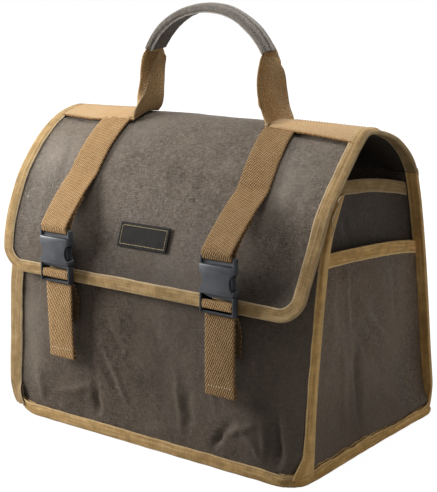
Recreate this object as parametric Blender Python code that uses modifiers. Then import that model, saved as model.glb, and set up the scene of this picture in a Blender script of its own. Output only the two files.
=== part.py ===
"""Canvas tool tote bag: a bound canvas body with two side pockets, a flap lid hinged at the back,
two webbing straps with side release buckles, and a webbing carry handle. Metres, +Z up, front at -Y."""

import math

import bmesh
import bpy
from mathutils import Matrix, Vector

# Driving dimensions of the bag
WIDTH = 0.400
DEPTH = 0.293
CORNER_RADIUS = 0.024
PANEL_TOP = 0.287
POCKET_TOP = 0.226
CANVAS = 0.0022
GAP = 0.0003

# Binding tape, folded over every seam and raw edge
TAPE_WIDTH = 0.0145
TAPE_THICK = 0.0044
TAPE_PROUD = 0.0010

# Webbing, straps and handle
WEB_WIDTH = 0.037
WEB_THICK = 0.0020
STRAP_X = 0.110
RIDGE_WEB_WIDTH = 0.038
RIDGE_WEB_Y = -0.0195
HANDLE_BASE_X = 0.088
HANDLE_AXIS_Z = 0.3710
GRIP_RADIUS = 0.090
GRIP_CENTRE_Z = 0.3735
GRIP_END_ANGLE = math.radians(30)
GRIP_WIDTH = 0.0215
GRIP_THICK = 0.0095

# Lid
LID_HINGE = Vector((0.0, 0.0858, 0.2906))
HINGE_ROLL = 0.0014
BACK_TOP = 0.2886
LID_CORNER = 0.028

# Buckles, standing upright in front of the lid's lower edge
BUCKLE_WIDTH = 0.042
BUCKLE_BACK = -0.1495
BUCKLE_THICK = 0.0120
HOUSING_LOW = 0.1900
HOUSING_HIGH = 0.2205
TAIL_AXIS = Vector((0.0, -0.1530, 0.1668))
TAIL_END_Z = 0.082

HALF_WIDTH = WIDTH / 2
HALF_DEPTH = DEPTH / 2
SEAM_X = HALF_WIDTH - TAPE_WIDTH
SIDE_X = SEAM_X - 0.0030
BUCKLE_FRONT = BUCKLE_BACK - BUCKLE_THICK
BUCKLE_MID = BUCKLE_BACK - BUCKLE_THICK / 2

# Section of the front at its left seam, middle and right seam: (height, y)
FRONT_LEFT = ((0.000, -0.138), (0.015, -0.139), (0.040, -0.142), (0.095, -0.1415), (0.130, -0.140),
              (0.165, -0.138), (0.200, -0.132), (0.250, -0.112), (0.290, -0.090))
FRONT_MIDDLE = ((0.000, -0.1465), (0.030, -0.1450), (0.060, -0.1435), (0.100, -0.1425), (0.140, -0.1410),
                (0.171, -0.1385), (0.195, -0.1335), (0.230, -0.1205), (0.260, -0.105), (0.290, -0.086))
FRONT_RIGHT = ((0.000, -0.139), (0.015, -0.1335), (0.028, -0.1262), (0.043, -0.1208), (0.067, -0.117), (0.108, -0.113), (0.147, -0.108),
               (0.187, -0.103), (0.230, -0.096), (0.250, -0.090), (0.270, -0.080), (0.290, -0.069))
# Section of the back: (height, y)
BACK = ((0.000, 0.1465), (0.030, 0.1420), (0.080, 0.1325), (0.139, 0.1220), (0.200, 0.1100),
        (0.255, 0.0965), (0.290, 0.0850))
BACK_BULGE = 0.006
# Sections of the lid from its back edge over the ridge to its lower edge: (y, z)
LID_BACK = ((0.0842, 0.2922), (0.0730, 0.3070), (0.0560, 0.3210), (0.0350, 0.3345), (0.0080, 0.3440),
            (-0.0200, 0.3470))
LID_LEFT = LID_BACK + ((-0.0450, 0.3430), (-0.0680, 0.3330), (-0.0930, 0.3130), (-0.1200, 0.2810),
                       (-0.1370, 0.2470), (-0.1460, 0.2180), (-0.1490, 0.1930), (-0.1470, 0.1700))
LID_MIDDLE = LID_BACK + ((-0.0420, 0.3400), (-0.0620, 0.3270), (-0.0850, 0.3060), (-0.1080, 0.2760),
                         (-0.1240, 0.2470), (-0.1350, 0.2180), (-0.1430, 0.1930), (-0.1470, 0.1700))
LID_RIGHT = LID_BACK + ((-0.0380, 0.3340), (-0.0550, 0.3150), (-0.0760, 0.2930), (-0.0950, 0.2720),
                        (-0.1080, 0.2460), (-0.1210, 0.2210), (-0.1350, 0.1960), (-0.1470, 0.1700))


def clear_scene():
    for obj in list(bpy.data.objects):
        bpy.data.objects.remove(obj)


def new_collection(name):
    collection = bpy.data.collections.new(name)
    bpy.context.scene.collection.children.link(collection)
    return collection


def new_material(name, colour, roughness, metallic=0.0):
    material = bpy.data.materials.new(name)
    material.use_nodes = True
    shader = material.node_tree.nodes["Principled BSDF"]
    shader.inputs["Base Color"].default_value = (*colour, 1.0)
    shader.inputs["Roughness"].default_value = roughness
    shader.inputs["Metallic"].default_value = metallic
    material.diffuse_color = (*colour, 1.0)
    return material


# Smooth curves through a few points

def height_curve(points, z):
    """The value at height z of a smooth curve through (height, value) points."""
    last = len(points) - 1
    i = 0
    while i < last - 1 and z > points[i + 1][0]:
        i += 1
    (z0, y0), (z1, y1) = points[i], points[i + 1]
    before = points[max(i - 1, 0)]
    after = points[min(i + 2, last)]
    slope0 = (y1 - before[1]) / (z1 - before[0])
    slope1 = (after[1] - y0) / (after[0] - z0)
    step = z1 - z0
    t = (z - z0) / step
    return ((2 * t ** 3 - 3 * t ** 2 + 1) * y0 + (t ** 3 - 2 * t ** 2 + t) * step * slope0
            + (3 * t ** 2 - 2 * t ** 3) * y1 + (t ** 3 - t ** 2) * step * slope1)


def smooth_path(points, per_span=10):
    """Points close together on a smooth curve through these, in as many dimensions as they have."""
    points = [Vector(p) for p in points]
    ends = [2 * points[0] - points[1]] + points + [2 * points[-1] - points[-2]]
    path = []
    for a, b, c, d in zip(ends, ends[1:], ends[2:], ends[3:]):
        for k in range(per_span):
            t = k / per_span
            path.append(0.5 * (2 * b + (c - a) * t + (2 * a - 5 * b + 4 * c - d) * t ** 2
                               + (3 * b - a - 3 * c + d) * t ** 3))
    path.append(points[-1])
    return path


def path_lengths(path):
    lengths = [0.0]
    for a, b in zip(path, path[1:]):
        lengths.append(lengths[-1] + (b - a).length)
    return lengths


def along_path(path, lengths, share):
    """The point at this share of the path's length."""
    wanted = min(max(share, 0.0), 1.0) * lengths[-1]
    i = 0
    while i < len(path) - 2 and lengths[i + 1] < wanted:
        i += 1
    return path[i].lerp(path[i + 1], (wanted - lengths[i]) / (lengths[i + 1] - lengths[i]))


class Route:
    """A smooth curve through a few points, read by its share of length."""

    def __init__(self, points):
        self.path = smooth_path(points)
        self.lengths = path_lengths(self.path)
        self.length = self.lengths[-1]

    def at(self, share):
        return along_path(self.path, self.lengths, share)

    def tangent(self, share):
        return (self.at(min(share + 0.004, 1.0)) - self.at(max(share - 0.004, 0.0))).normalized()

    def spot(self, count):
        """The point and direction this many given points along the curve."""
        last = len(self.path) - 1
        i = min(round(count * 10), last)
        return self.path[i], (self.path[min(i + 1, last)] - self.path[max(i - 1, 0)]).normalized()


LID_SECTIONS = [Route(points) for points in (LID_LEFT, LID_MIDDLE, LID_RIGHT)]
LID_LENGTH = LID_SECTIONS[1].length


# Surfaces of the bag

def end_rounding(u):
    """How far the front has turned back towards its seam, 0 up to half way out and 1 at the end."""
    return max((abs(u) - 0.5) / 0.5, 0.0) ** 2.2


def front_y(x, z):
    u = x / HALF_WIDTH
    middle = height_curve(FRONT_MIDDLE, z)
    seam = height_curve(FRONT_LEFT if u < 0 else FRONT_RIGHT, z)
    return middle + (seam - middle) * end_rounding(u)


def back_y(x, z):
    rise = math.sin(math.pi * min(max(z / PANEL_TOP, 0.0), 1.0))
    return height_curve(BACK, z) + BACK_BULGE * rise * (1 - (x / HALF_WIDTH) ** 2)


def side_top(y):
    """Height of the side panel's bound top edge."""
    return 0.2930 - 0.090 * (y + 0.010) - 0.75 * (y + 0.010) ** 2


def pocket_top(y):
    """Height of the pocket's bound top edge, which arches and drops to the back."""
    return POCKET_TOP - 0.070 * (y + 0.016) - 0.55 * (y + 0.016) ** 2


def pocket_x(y, z):
    """How far out the pocket's outer face stands: flared at the foot, full at the mouth."""
    front = front_y(SEAM_X, z)
    back = back_y(SEAM_X, z)
    across = math.sin(math.pi * min(max((y - front) / (back - front), 0.0), 1.0))
    flare = 0.0085 * math.exp(-max(z - 0.015, 0.0) / 0.030)
    return SEAM_X + 0.0018 + flare + 0.0105 * across * (z / POCKET_TOP) ** 1.3


def lid_point(x, length, lift=0.0):
    """A point of the lid's outer surface, that far across and along it from the hinge edge."""
    edge = max((abs(x) / HALF_WIDTH - 0.15) / 0.85, 0.0) ** 1.5
    weights = (edge if x < 0 else 0.0, 1 - edge, edge if x > 0 else 0.0)
    share = length / LID_LENGTH
    place = Vector((0.0, 0.0))
    along = Vector((0.0, 0.0))
    for weight, section in zip(weights, LID_SECTIONS):
        place += weight * section.at(share)
        along += weight * section.tangent(share)
    normal = Vector((along.y, -along.x)).normalized()
    place += lift * normal
    return Vector((x, place.x, place.y))


def lid_length_where(x, coordinate, value, low=0.25, high=1.0):
    """The length along the lid at which y (1) or z (2) has this value, between two shares of it."""
    low, high = low * LID_LENGTH, high * LID_LENGTH
    for _ in range(30):
        middle = (low + high) / 2
        if lid_point(x, middle)[coordinate] > value:
            low = middle
        else:
            high = middle
    return low


# Building and placing pieces

class Builder:
    """Puts each finished piece in the bag's collection, with its material and its joint's empty."""

    def __init__(self):
        self.parts = new_collection("tool_tote_bag")
        self.cutters = new_collection("cutters")
        self.axes = {}

    def axis(self, name, place, parent=None):
        empty = bpy.data.objects.new(name, None)
        empty.empty_display_size = 0.02
        empty.location = Vector(place) - (self.place_of(parent) if parent else Vector())
        empty.parent = self.axes[parent][0] if parent else None
        self.parts.objects.link(empty)
        self.axes[name] = (empty, Vector(place))

    def place_of(self, name):
        return self.axes[name][1]

    def add(self, obj, material, axis="bag_base"):
        for collection in list(obj.users_collection):
            collection.objects.unlink(obj)
        self.parts.objects.link(obj)
        obj.data.materials.append(material)
        obj.data.transform(Matrix.Translation(-self.place_of(axis)) @ obj.matrix_world)
        obj.matrix_world = Matrix.Identity(4)
        obj.parent = self.axes[axis][0]
        return obj

    def cutter(self, obj):
        for collection in list(obj.users_collection):
            collection.objects.unlink(obj)
        self.cutters.objects.link(obj)
        obj.hide_render = True
        obj.display_type = "WIRE"
        return obj


def grid_sheet(name, across, along, place, thickness, outward):
    """A canvas or webbing sheet: a grid moved to place(u, v), thickened away from its outer side."""
    bpy.ops.mesh.primitive_grid_add(x_subdivisions=across, y_subdivisions=along, size=2)
    obj = bpy.context.active_object
    obj.name = name
    for vertex in obj.data.vertices:
        vertex.co = place((vertex.co.x + 1) / 2, (vertex.co.y + 1) / 2)
    middle = obj.data.polygons[len(obj.data.polygons) // 2]
    if middle.normal.dot(Vector(outward)) < 0:
        obj.data.flip_normals()
    thicken(obj, thickness)
    return obj


def thicken(obj, thickness, offset=-1.0):
    solidify = obj.modifiers.new("cloth", "SOLIDIFY")
    solidify.thickness = thickness
    solidify.offset = offset
    solidify.use_even_offset = True
    solidify.thickness_clamp = 0.0


def box(name, low, high):
    """A box between two corners."""
    mesh = bpy.data.meshes.new(name)
    form = bmesh.new()
    bmesh.ops.create_cube(form, size=1.0)
    form.to_mesh(mesh)
    form.free()
    low, high = Vector(low), Vector(high)
    scale = Matrix.Diagonal((*(high - low), 1.0))
    mesh.transform(Matrix.Translation((low + high) / 2) @ scale)
    obj = bpy.data.objects.new(name, mesh)
    bpy.context.scene.collection.objects.link(obj)
    return obj


def plate(name, outlines, thickness, place):
    """A flat plate with filled outlines, inner ones as holes, made a mesh and moved by a matrix."""
    curve = bpy.data.curves.new(name, "CURVE")
    curve.dimensions = "2D"
    curve.fill_mode = "BOTH"
    curve.extrude = thickness / 2
    for outline in outlines:
        spline = curve.splines.new("POLY")
        spline.points.add(len(outline) - 1)
        for point, (x, y) in zip(spline.points, outline):
            point.co = (x, y, 0.0, 1.0)
        spline.use_cyclic_u = True
    drawn = bpy.data.objects.new(name + "_outline", curve)
    bpy.context.scene.collection.objects.link(drawn)
    graph = bpy.context.evaluated_depsgraph_get()
    mesh = bpy.data.meshes.new_from_object(drawn.evaluated_get(graph))
    bpy.data.objects.remove(drawn)
    form = bmesh.new()
    form.from_mesh(mesh)
    bmesh.ops.remove_doubles(form, verts=form.verts, dist=1e-6)
    bmesh.ops.recalc_face_normals(form, faces=form.faces)
    form.to_mesh(mesh)
    form.free()
    mesh.transform(place)
    mesh.name = name
    obj = bpy.data.objects.new(name, mesh)
    bpy.context.scene.collection.objects.link(obj)
    return obj


def rounded_rectangle(half_x, half_y, radius, steps=4):
    """The outline of a rectangle with round corners, anticlockwise from the right."""
    points = []
    for corner, (sx, sy) in enumerate(((1, 1), (-1, 1), (-1, -1), (1, -1))):
        for k in range(steps + 1):
            angle = math.radians(90) * (corner + k / steps)
            points.append((sx * (half_x - radius) + radius * math.cos(angle),
                           sy * (half_y - radius) + radius * math.sin(angle)))
    return points


def bevel(obj, width, segments=2):
    modifier = obj.modifiers.new("edges", "BEVEL")
    modifier.width = width
    modifier.segments = segments
    modifier.limit_method = "ANGLE"
    modifier.angle_limit = math.radians(40)


def combine(obj, other, operation, builder):
    modifier = obj.modifiers.new(operation.lower(), "BOOLEAN")
    modifier.operation = operation
    modifier.object = builder.cutter(other)
    return obj


# Body panels

def add_panels(builder, canvas, board):
    inset = TAPE_THICK + 2 * GAP
    floor_outline = rounded_rectangle(HALF_WIDTH - inset, HALF_DEPTH - inset, CORNER_RADIUS - TAPE_THICK)
    floor = plate("floor_panel", [floor_outline], CANVAS, Matrix.Translation((0, 0, CANVAS / 2)))
    builder.add(floor, canvas)

    board_thick = 0.003
    board_low = CANVAS + GAP
    insert = plate("floor_board", [rounded_rectangle(SIDE_X - 0.0045, 0.136, 0.012)], board_thick,
                   Matrix.Translation((0, 0, board_low + board_thick / 2)))
    builder.add(insert, board)

    panel_low = TAPE_WIDTH + 3 * GAP
    front_high = PANEL_TOP - TAPE_WIDTH - 0.0012
    panel_x = SEAM_X - 0.0013

    def front_place(u, v):
        x = (2 * u - 1) * panel_x
        z = panel_low + (front_high - panel_low) * v
        return Vector((x, front_y(x, z), z))

    builder.add(grid_sheet("front_panel", 16, 9, front_place, CANVAS, (0, -1, 0)), canvas)

    def back_place(u, v):
        x = (2 * u - 1) * panel_x
        z = panel_low + (BACK_TOP - panel_low) * v
        return Vector((x, back_y(x, z), z))

    builder.add(grid_sheet("back_panel", 10, 8, back_place, CANVAS, (0, 1, 0)), canvas)

    bpy.ops.mesh.primitive_cylinder_add(vertices=10, radius=HINGE_ROLL, depth=WIDTH - 0.002,
                                        location=LID_HINGE, rotation=(0, math.radians(90), 0))
    roll = bpy.context.active_object
    roll.name = "hinge_seam"
    builder.add(roll, canvas)

    for side, name in ((-1, "left"), (1, "right")):

        def side_edges(z):
            return (max(front_y(side * SIDE_X, z) + CANVAS + 0.0036, -0.1392),
                    min(back_y(SIDE_X, z) - CANVAS - 0.0014, 0.1392))

        def pocket_edges(z):
            return (front_y(side * (SEAM_X + 0.005), z) + TAPE_THICK + 0.0024,
                    back_y(SEAM_X, z) - TAPE_THICK - 0.0012)

        def between(edges, top, low, u, v):
            z = low
            for _ in range(6):
                front, back = edges(z)
                y = front + (back - front) * u
                z = low + (top(y) - TAPE_WIDTH - 2 * GAP - low) * v
            return y, z

        def side_place(u, v):
            y, z = between(side_edges, side_top, CANVAS + GAP, u, v)
            return Vector((side * SIDE_X, y, z))

        builder.add(grid_sheet(name + "_side_panel", 8, 8, side_place, CANVAS, (side, 0, 0)), canvas)

        def pocket_place(u, v):
            y, z = between(pocket_edges, pocket_top, TAPE_WIDTH + 3 * GAP, u, v)
            return Vector((side * pocket_x(y, z), y, z))

        builder.add(grid_sheet(name + "_pocket", 10, 8, pocket_place, CANVAS, (side, 0, 0)), canvas)


# Binding tapes of the body

def plan_point(share, side):
    """A point of the foot's outline, from the middle of one front or side run (0) to a corner (1)."""
    straight_x = HALF_WIDTH - CORNER_RADIUS
    straight_y = HALF_DEPTH - CORNER_RADIUS
    straight = straight_x if side == "front" else straight_y
    turn = CORNER_RADIUS * math.radians(45)
    reach = share * (straight + turn)
    angle = max(reach - straight, 0.0) / CORNER_RADIUS
    on = min(reach, straight)
    if side == "front":
        return (on + CORNER_RADIUS * math.sin(angle),
                -(HALF_DEPTH - CORNER_RADIUS + CORNER_RADIUS * math.cos(angle)))
    return (HALF_WIDTH - CORNER_RADIUS + CORNER_RADIUS * math.cos(angle),
            on + CORNER_RADIUS * math.sin(angle))


def add_foot_tapes(builder, tape):
    runs = (("front_bottom_binding", "front", 1), ("back_bottom_binding", "front", -1),
            ("right_bottom_binding", "side", 1), ("left_bottom_binding", "side", -1))
    for name, kind, sign in runs:

        def place(u, v):
            t = 2 * u - 1
            eased = math.copysign(1 - (1 - abs(t)) ** 1.8, t) * 0.9965
            x, y = plan_point(abs(eased), kind)
            z = GAP + (TAPE_WIDTH - GAP) * v
            if kind == "front":
                return Vector((math.copysign(x, t), sign * y, z))
            return Vector((sign * x, math.copysign(y, t), z))

        outward = (0, -sign, 0) if kind == "front" else (sign, 0, 0)
        builder.add(grid_sheet(name, 20, 1, place, TAPE_THICK, outward), tape)


def add_seam_tapes(builder, tape):
    low = TAPE_WIDTH + 3 * GAP
    panel_x = SEAM_X - 0.0013
    for side, name in ((-1, "left"), (1, "right")):

        def front_place(u, v):
            x = side * (SEAM_X + TAPE_WIDTH * u)
            foot = low + (0.0018 if side > 0 else 0.0)
            z = foot + (PANEL_TOP - foot) * v
            return Vector((x, front_y(x, z) - TAPE_PROUD, z))

        builder.add(grid_sheet(name + "_front_binding", 1, 12, front_place, TAPE_THICK, (0, -1, 0)), tape)

        def back_place(u, v):
            x = side * (SEAM_X + TAPE_WIDTH * u)
            z = low + (BACK_TOP - low) * v
            return Vector((x, back_y(x, z) + TAPE_PROUD, z))

        builder.add(grid_sheet(name + "_back_binding", 1, 10, back_place, TAPE_THICK, (0, 1, 0)), tape)

        def top_place(u, v):
            z = 0.280
            front = front_y(side * SIDE_X, z) + CANVAS + 0.0085
            back = back_y(SIDE_X, z) - CANVAS - 0.0045
            y = front + (back - front) * u
            return Vector((side * (SIDE_X + TAPE_PROUD), y, side_top(y) - TAPE_WIDTH * (1 - v)))

        builder.add(grid_sheet(name + "_side_top_binding", 10, 1, top_place, TAPE_THICK, (side, 0, 0)), tape)

        def pocket_place(u, v):
            level = 0.214
            front = front_y(side * (SEAM_X + 0.005), level) + TAPE_THICK + 0.0062
            back = back_y(SEAM_X, level) - TAPE_THICK - 0.0024
            y = front + (back - front) * u
            z = pocket_top(y) - TAPE_WIDTH * (1 - v)
            return Vector((side * (pocket_x(y, z) + TAPE_PROUD), y, z))

        builder.add(grid_sheet(name + "_pocket_binding", 12, 1, pocket_place, TAPE_THICK, (side, 0, 0)), tape)

    def front_top_place(u, v):
        x = (2 * u - 1) * panel_x
        z = PANEL_TOP - TAPE_WIDTH * (1 - v)
        return Vector((x, front_y(x, z) - TAPE_PROUD, z))

    builder.add(grid_sheet("front_top_binding", 20, 1, front_top_place, TAPE_THICK, (0, -1, 0)), tape)


# Lid and what is sewn to it

def add_lid(builder, canvas, tape, label_cloth):
    inner_radius = LID_CORNER - TAPE_WIDTH
    turn_start = LID_LENGTH - LID_CORNER

    body_rows, turn_rows = 24, 5
    rows = [turn_start * k / body_rows for k in range(body_rows)]
    rows += [turn_start + (inner_radius - 0.0013) * math.sin(math.radians(90) * k / turn_rows)
             for k in range(turn_rows + 1)]

    def lid_place(u, v):
        length = rows[round(v * (len(rows) - 1))]
        into = max(length - turn_start, 0.0)
        half = SEAM_X - 0.0011 - (inner_radius - math.sqrt(inner_radius ** 2 - into ** 2))
        return lid_point((2 * u - 1) * half, length)

    builder.add(grid_sheet("lid", 12, len(rows) - 1, lid_place, CANVAS, (0, 0, 1)), canvas, "lid_hinge")

    straight_down = LID_LENGTH - LID_CORNER
    straight_across = HALF_WIDTH - LID_CORNER
    half_turn = LID_CORNER * math.radians(90)
    total = 2 * (straight_down + half_turn + straight_across)

    def edge_point(run, inset):
        """A point of the lid's edge in its flat pattern, that far in from the edge."""
        side = -1 if run < total / 2 else 1
        run = min(run, total - run)
        radius = LID_CORNER - inset
        if run < straight_down:
            return side * (HALF_WIDTH - inset), run
        if run < straight_down + half_turn:
            angle = (run - straight_down) / LID_CORNER
            return (side * (HALF_WIDTH - LID_CORNER + radius * math.cos(angle)),
                    LID_LENGTH - LID_CORNER + radius * math.sin(angle))
        return (side * (straight_across - (run - straight_down - half_turn)), LID_LENGTH - inset)

    stations = [straight_down * k / 26 for k in range(26)]
    stations += [straight_down + half_turn * k / 6 for k in range(6)]
    stations += [straight_down + half_turn + straight_across * k / 10 for k in range(10)]
    stations += [total / 2] + [total - run for run in reversed(stations)]
    last = len(stations) - 1

    def binding_place(u, v):
        x, length = edge_point(stations[round(v * last)], TAPE_WIDTH * u)
        return lid_point(x, length, TAPE_PROUD)

    binding = grid_sheet("lid_binding", 1, last, binding_place, TAPE_THICK, (0, 0, 1))
    builder.add(binding, tape, "lid_hinge")

    def label_place(u, v):
        x = LABEL_X + (u - 0.5) * LABEL_SIZE[0]
        start = lid_length_where(LABEL_X, 2, LABEL_HIGH)
        return lid_point(x, start + LABEL_SIZE[1] * v, GAP + LABEL_THICK)

    label = grid_sheet("label", 6, 4, label_place, LABEL_THICK, (0, -1, 0))
    builder.add(label, label_cloth, "lid_hinge")


LABEL_X = -0.006
LABEL_HIGH = 0.2410
LABEL_SIZE = (0.067, 0.027)
LABEL_THICK = 0.0012


# Straps with their buckles

def strap_route(x):
    """Middle line, in (y, z), of a strap: down the lid, round the buckle's bar and back up behind."""
    lift = 0.0009 + WEB_THICK / 2
    start = lid_length_where(x, 1, RIDGE_WEB_Y - RIDGE_WEB_WIDTH / 2 - 0.0006)
    leave = lid_length_where(x, 2, 0.284)
    front = []
    for k in range(9):
        p = lid_point(x, start + (leave - start) * k / 8, lift)
        front.append(Vector((p.y, p.z)))
    bar_y, bar_z = BUCKLE_BAR
    near = BUCKLE_BAR_RADIUS + WEB_THICK / 2 + 0.0005
    top = front[-1]
    low = Vector((bar_y - near - 0.0002, bar_z + 0.0055))
    slope = (top - low).normalized()
    outward = Vector((-slope.y, slope.x))

    def bridge(share, lift):
        return low.lerp(top, share) + outward * (0.0040 * share * (1 - share) * 4 * 0.5 + lift)

    front += [bridge(0.75, 0.0), bridge(0.5, 0.0), bridge(0.25, 0.0), low]
    fold = []
    for k in range(7):
        angle = math.radians(180 + 180 * k / 6)
        fold.append(Vector((bar_y + near * math.cos(angle), bar_z + near * math.sin(angle))))
    under = WEB_THICK + 0.0006
    back = [Vector((bar_y + near + 0.0002, bar_z + 0.0040)), bridge(0.28, -under), bridge(0.56, -under)]
    return Route(front + fold + back)


BUCKLE_BAR = (-0.1553, 0.2280)
BUCKLE_BAR_RADIUS = 0.0016


def add_strap(builder, name, x, web):
    across = 3
    columns = [x + (k / across - 0.5) * WEB_WIDTH for k in range(across + 1)]
    routes = [strap_route(column) for column in columns]
    spots = [k / 2 for k in range(26)] + [13 + k for k in range(6)] + [19 + k / 2 for k in range(7)]
    last = len(spots) - 1

    def place(u, v):
        k = round(u * across)
        p, along = routes[k].spot(spots[round(v * last)])
        normal = Vector((along.y, -along.x))
        p = p + normal * WEB_THICK / 2
        return Vector((columns[k], p.x, p.y))

    strap = grid_sheet(name + "_lid_strap", across, last, place, WEB_THICK, (0, 0, 1))
    builder.add(strap, web, "lid_hinge")


def add_housing(builder, name, x, plastic):
    """The buckle half on the strap: a box open below, with a window each side and a bar on top."""
    half = BUCKLE_WIDTH / 2
    wall = 0.0020
    housing = box(name + "_buckle_housing", (x - half, BUCKLE_FRONT, HOUSING_LOW),
                  (x + half, BUCKLE_BACK, HOUSING_HIGH))
    bevel(housing, 0.0022, 2)
    ear = 0.0021
    inner = half - ear
    bar_y, bar_z = BUCKLE_BAR
    thick = BUCKLE_BAR_RADIUS * 0.75
    ears_and_bar = plate(name + "_loop", [
        [(-half, -0.004), (half, -0.004), (half, 0.0070), (half - 0.0018, 0.0088),
         (-half + 0.0018, 0.0088), (-half, 0.0070)],
        [(-inner, 0.0028), (inner, 0.0028), (inner, 0.0062), (-inner, 0.0062)]],
        2 * thick, Matrix.Translation((x, bar_y, HOUSING_HIGH)) @ Matrix.Rotation(math.radians(90), 4, "X"))
    combine(housing, ears_and_bar, "UNION", builder)
    for side, letter in ((-1, "a"), (1, "b")):
        near, far = sorted((x + side * (inner + 0.0002), x + side * (half + 0.0004)))
        ear = box(name + "_ear_" + letter, (near, bar_y - 0.0036, HOUSING_HIGH - 0.0020),
                  (far, bar_y + 0.0036, HOUSING_HIGH + 0.0082))
        bevel(ear, 0.0006, 1)
        combine(housing, ear, "UNION", builder)
    cavity = box(name + "_cavity", (x - half + wall, BUCKLE_FRONT + wall, HOUSING_LOW - 0.002),
                 (x + half - wall, BUCKLE_BACK - wall, HOUSING_HIGH - 0.0045))
    combine(housing, cavity, "DIFFERENCE", builder)
    for side, letter in ((-1, "a"), (1, "b")):
        bpy.ops.mesh.primitive_cylinder_add(vertices=20, radius=1, depth=0.020, rotation=(math.radians(90), 0, 0),
                                            location=(x + side * (half + 0.0004), BUCKLE_MID, 0.2036))
        window = bpy.context.active_object
        window.name = name + "_window_" + letter
        window.data.transform(Matrix.Diagonal((0.0052, 0.0090, 1.0, 1.0)))
        combine(housing, window, "DIFFERENCE", builder)
    builder.add(housing, plastic, "lid_hinge")


def add_ladder(builder, name, x, plastic, web):
    """The buckle half on the body's webbing: plug, guide tongue and ladder bars."""
    half = BUCKLE_WIDTH / 2
    cavity_half = half - 0.0020 - 0.0006
    rail = 0.0021
    low = 0.1692
    top = HOUSING_LOW - 0.0006
    slot = half - rail
    plug_low = 0.1862
    tongue = 0.0030
    shape = plate(name + "_buckle_ladder", [
        [(-half, low), (half, low), (half, top), (cavity_half - 0.008, top),
         (cavity_half - 0.008, 0.1945), (tongue, 0.1945), (tongue, 0.2100), (tongue - 0.0012, 0.2120),
         (-tongue + 0.0012, 0.2120), (-tongue, 0.2100), (-tongue, 0.1945), (-cavity_half + 0.008, 0.1945),
         (-cavity_half + 0.008, top), (-half, top)],
        [(-slot, 0.1720), (slot, 0.1720), (slot, 0.1775), (-slot, 0.1775)],
        [(-slot, 0.1806), (slot, 0.1806), (slot, plug_low), (-slot, plug_low)]],
        0.0040, Matrix.Translation((x, BUCKLE_MID, 0)) @ Matrix.Rotation(math.radians(90), 4, "X"))
    for side, letter in ((-1, "a"), (1, "b")):
        near, far = sorted((x + side * (slot + 0.0001), x + side * (half + 0.0001)))
        side_rail = box(name + "_rail_" + letter, (near, BUCKLE_MID - 0.0046, low + 0.0006),
                        (far, BUCKLE_MID + 0.0038, top - 0.0001))
        bevel(side_rail, 0.0008, 2)
        combine(shape, side_rail, "UNION", builder)
    builder.add(shape, plastic, name + "_buckle_slide")

    bar_z = 0.17905
    near_y = 0.0040 / 2 + 0.0004 + 0.0008
    reach = 0.0040
    loop = [(BUCKLE_MID + near_y + 0.0002, 0.1684), (BUCKLE_MID + near_y, 0.1735),
            (BUCKLE_MID + near_y, bar_z + reach - 0.0012), (BUCKLE_MID + near_y * 0.6, bar_z + reach),
            (BUCKLE_MID - near_y * 0.6, bar_z + reach), (BUCKLE_MID - near_y, bar_z + reach - 0.0012),
            (BUCKLE_MID - near_y, 0.1762), (BUCKLE_MID - near_y * 0.55, 0.1748),
            (BUCKLE_MID + near_y * 0.30, 0.1744)]
    route = Route(loop)
    thick = 0.0014

    def place(u, v):
        along = route.tangent(v)
        normal = Vector((along.y, -along.x))
        p = route.at(v) - normal * thick / 2
        return Vector((x + (u - 0.5) * (WEB_WIDTH - 0.0004), p.x, p.y))

    threaded = grid_sheet(name + "_threaded_web", 1, 22, place, thick, (0, -1, 0))
    builder.add(threaded, web, name + "_buckle_slide")


PRONG_PIVOT_Z = 0.1925
PRONG_PIVOT_X = 0.0125


def add_prong(builder, name, x, side, plastic):
    """A squeeze prong: a slim arm that widens to a rounded pad in the housing's window."""
    pad_top = HOUSING_HIGH - 0.0085
    outer = BUCKLE_WIDTH / 2 - 0.0024
    neck = BUCKLE_WIDTH / 2 - 0.0042
    z0 = PRONG_PIVOT_Z - 0.0022
    outline = [(PRONG_PIVOT_X - 0.0016, z0), (PRONG_PIVOT_X + 0.0040, z0), (neck, 0.1952),
               (outer, 0.1965), (outer, 0.2030), (outer - 0.0012, 0.2085), (outer - 0.0036, pad_top),
               (outer - 0.0068, pad_top - 0.0005), (outer - 0.0052, 0.2060), (outer - 0.0042, 0.2000),
               (PRONG_PIVOT_X - 0.0010, 0.1965)]
    points = [(side * a, b) for a, b in outline]
    letter = "a" if side < 0 else "b"
    prong = plate(name + "_prong_" + letter, [points], 0.0068,
                  Matrix.Translation((x, BUCKLE_MID, 0)) @ Matrix.Rotation(math.radians(90), 4, "X"))
    builder.add(prong, plastic, name + "_prong_" + letter + "_pivot")


def add_tail(builder, name, x, web):
    """The strap's free end below the ladder, with its hem folded up behind."""

    def place(u, v):
        z = TAIL_AXIS.z + 0.0006 + (TAIL_END_Z - TAIL_AXIS.z - 0.0006) * v
        return Vector((x + (u - 0.5) * WEB_WIDTH, TAIL_AXIS.y - WEB_THICK / 2, z))

    tail = grid_sheet(name + "_tail", 1, 6, place, WEB_THICK, (0, -1, 0))
    hem = box(name + "_hem", (x - WEB_WIDTH / 2, TAIL_AXIS.y - 0.0002, TAIL_END_Z),
              (x + WEB_WIDTH / 2, TAIL_AXIS.y + 0.0028, TAIL_END_Z + 0.014))
    combine(tail, hem, "UNION", builder)
    builder.add(tail, web, name + "_tail_axis")


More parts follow.
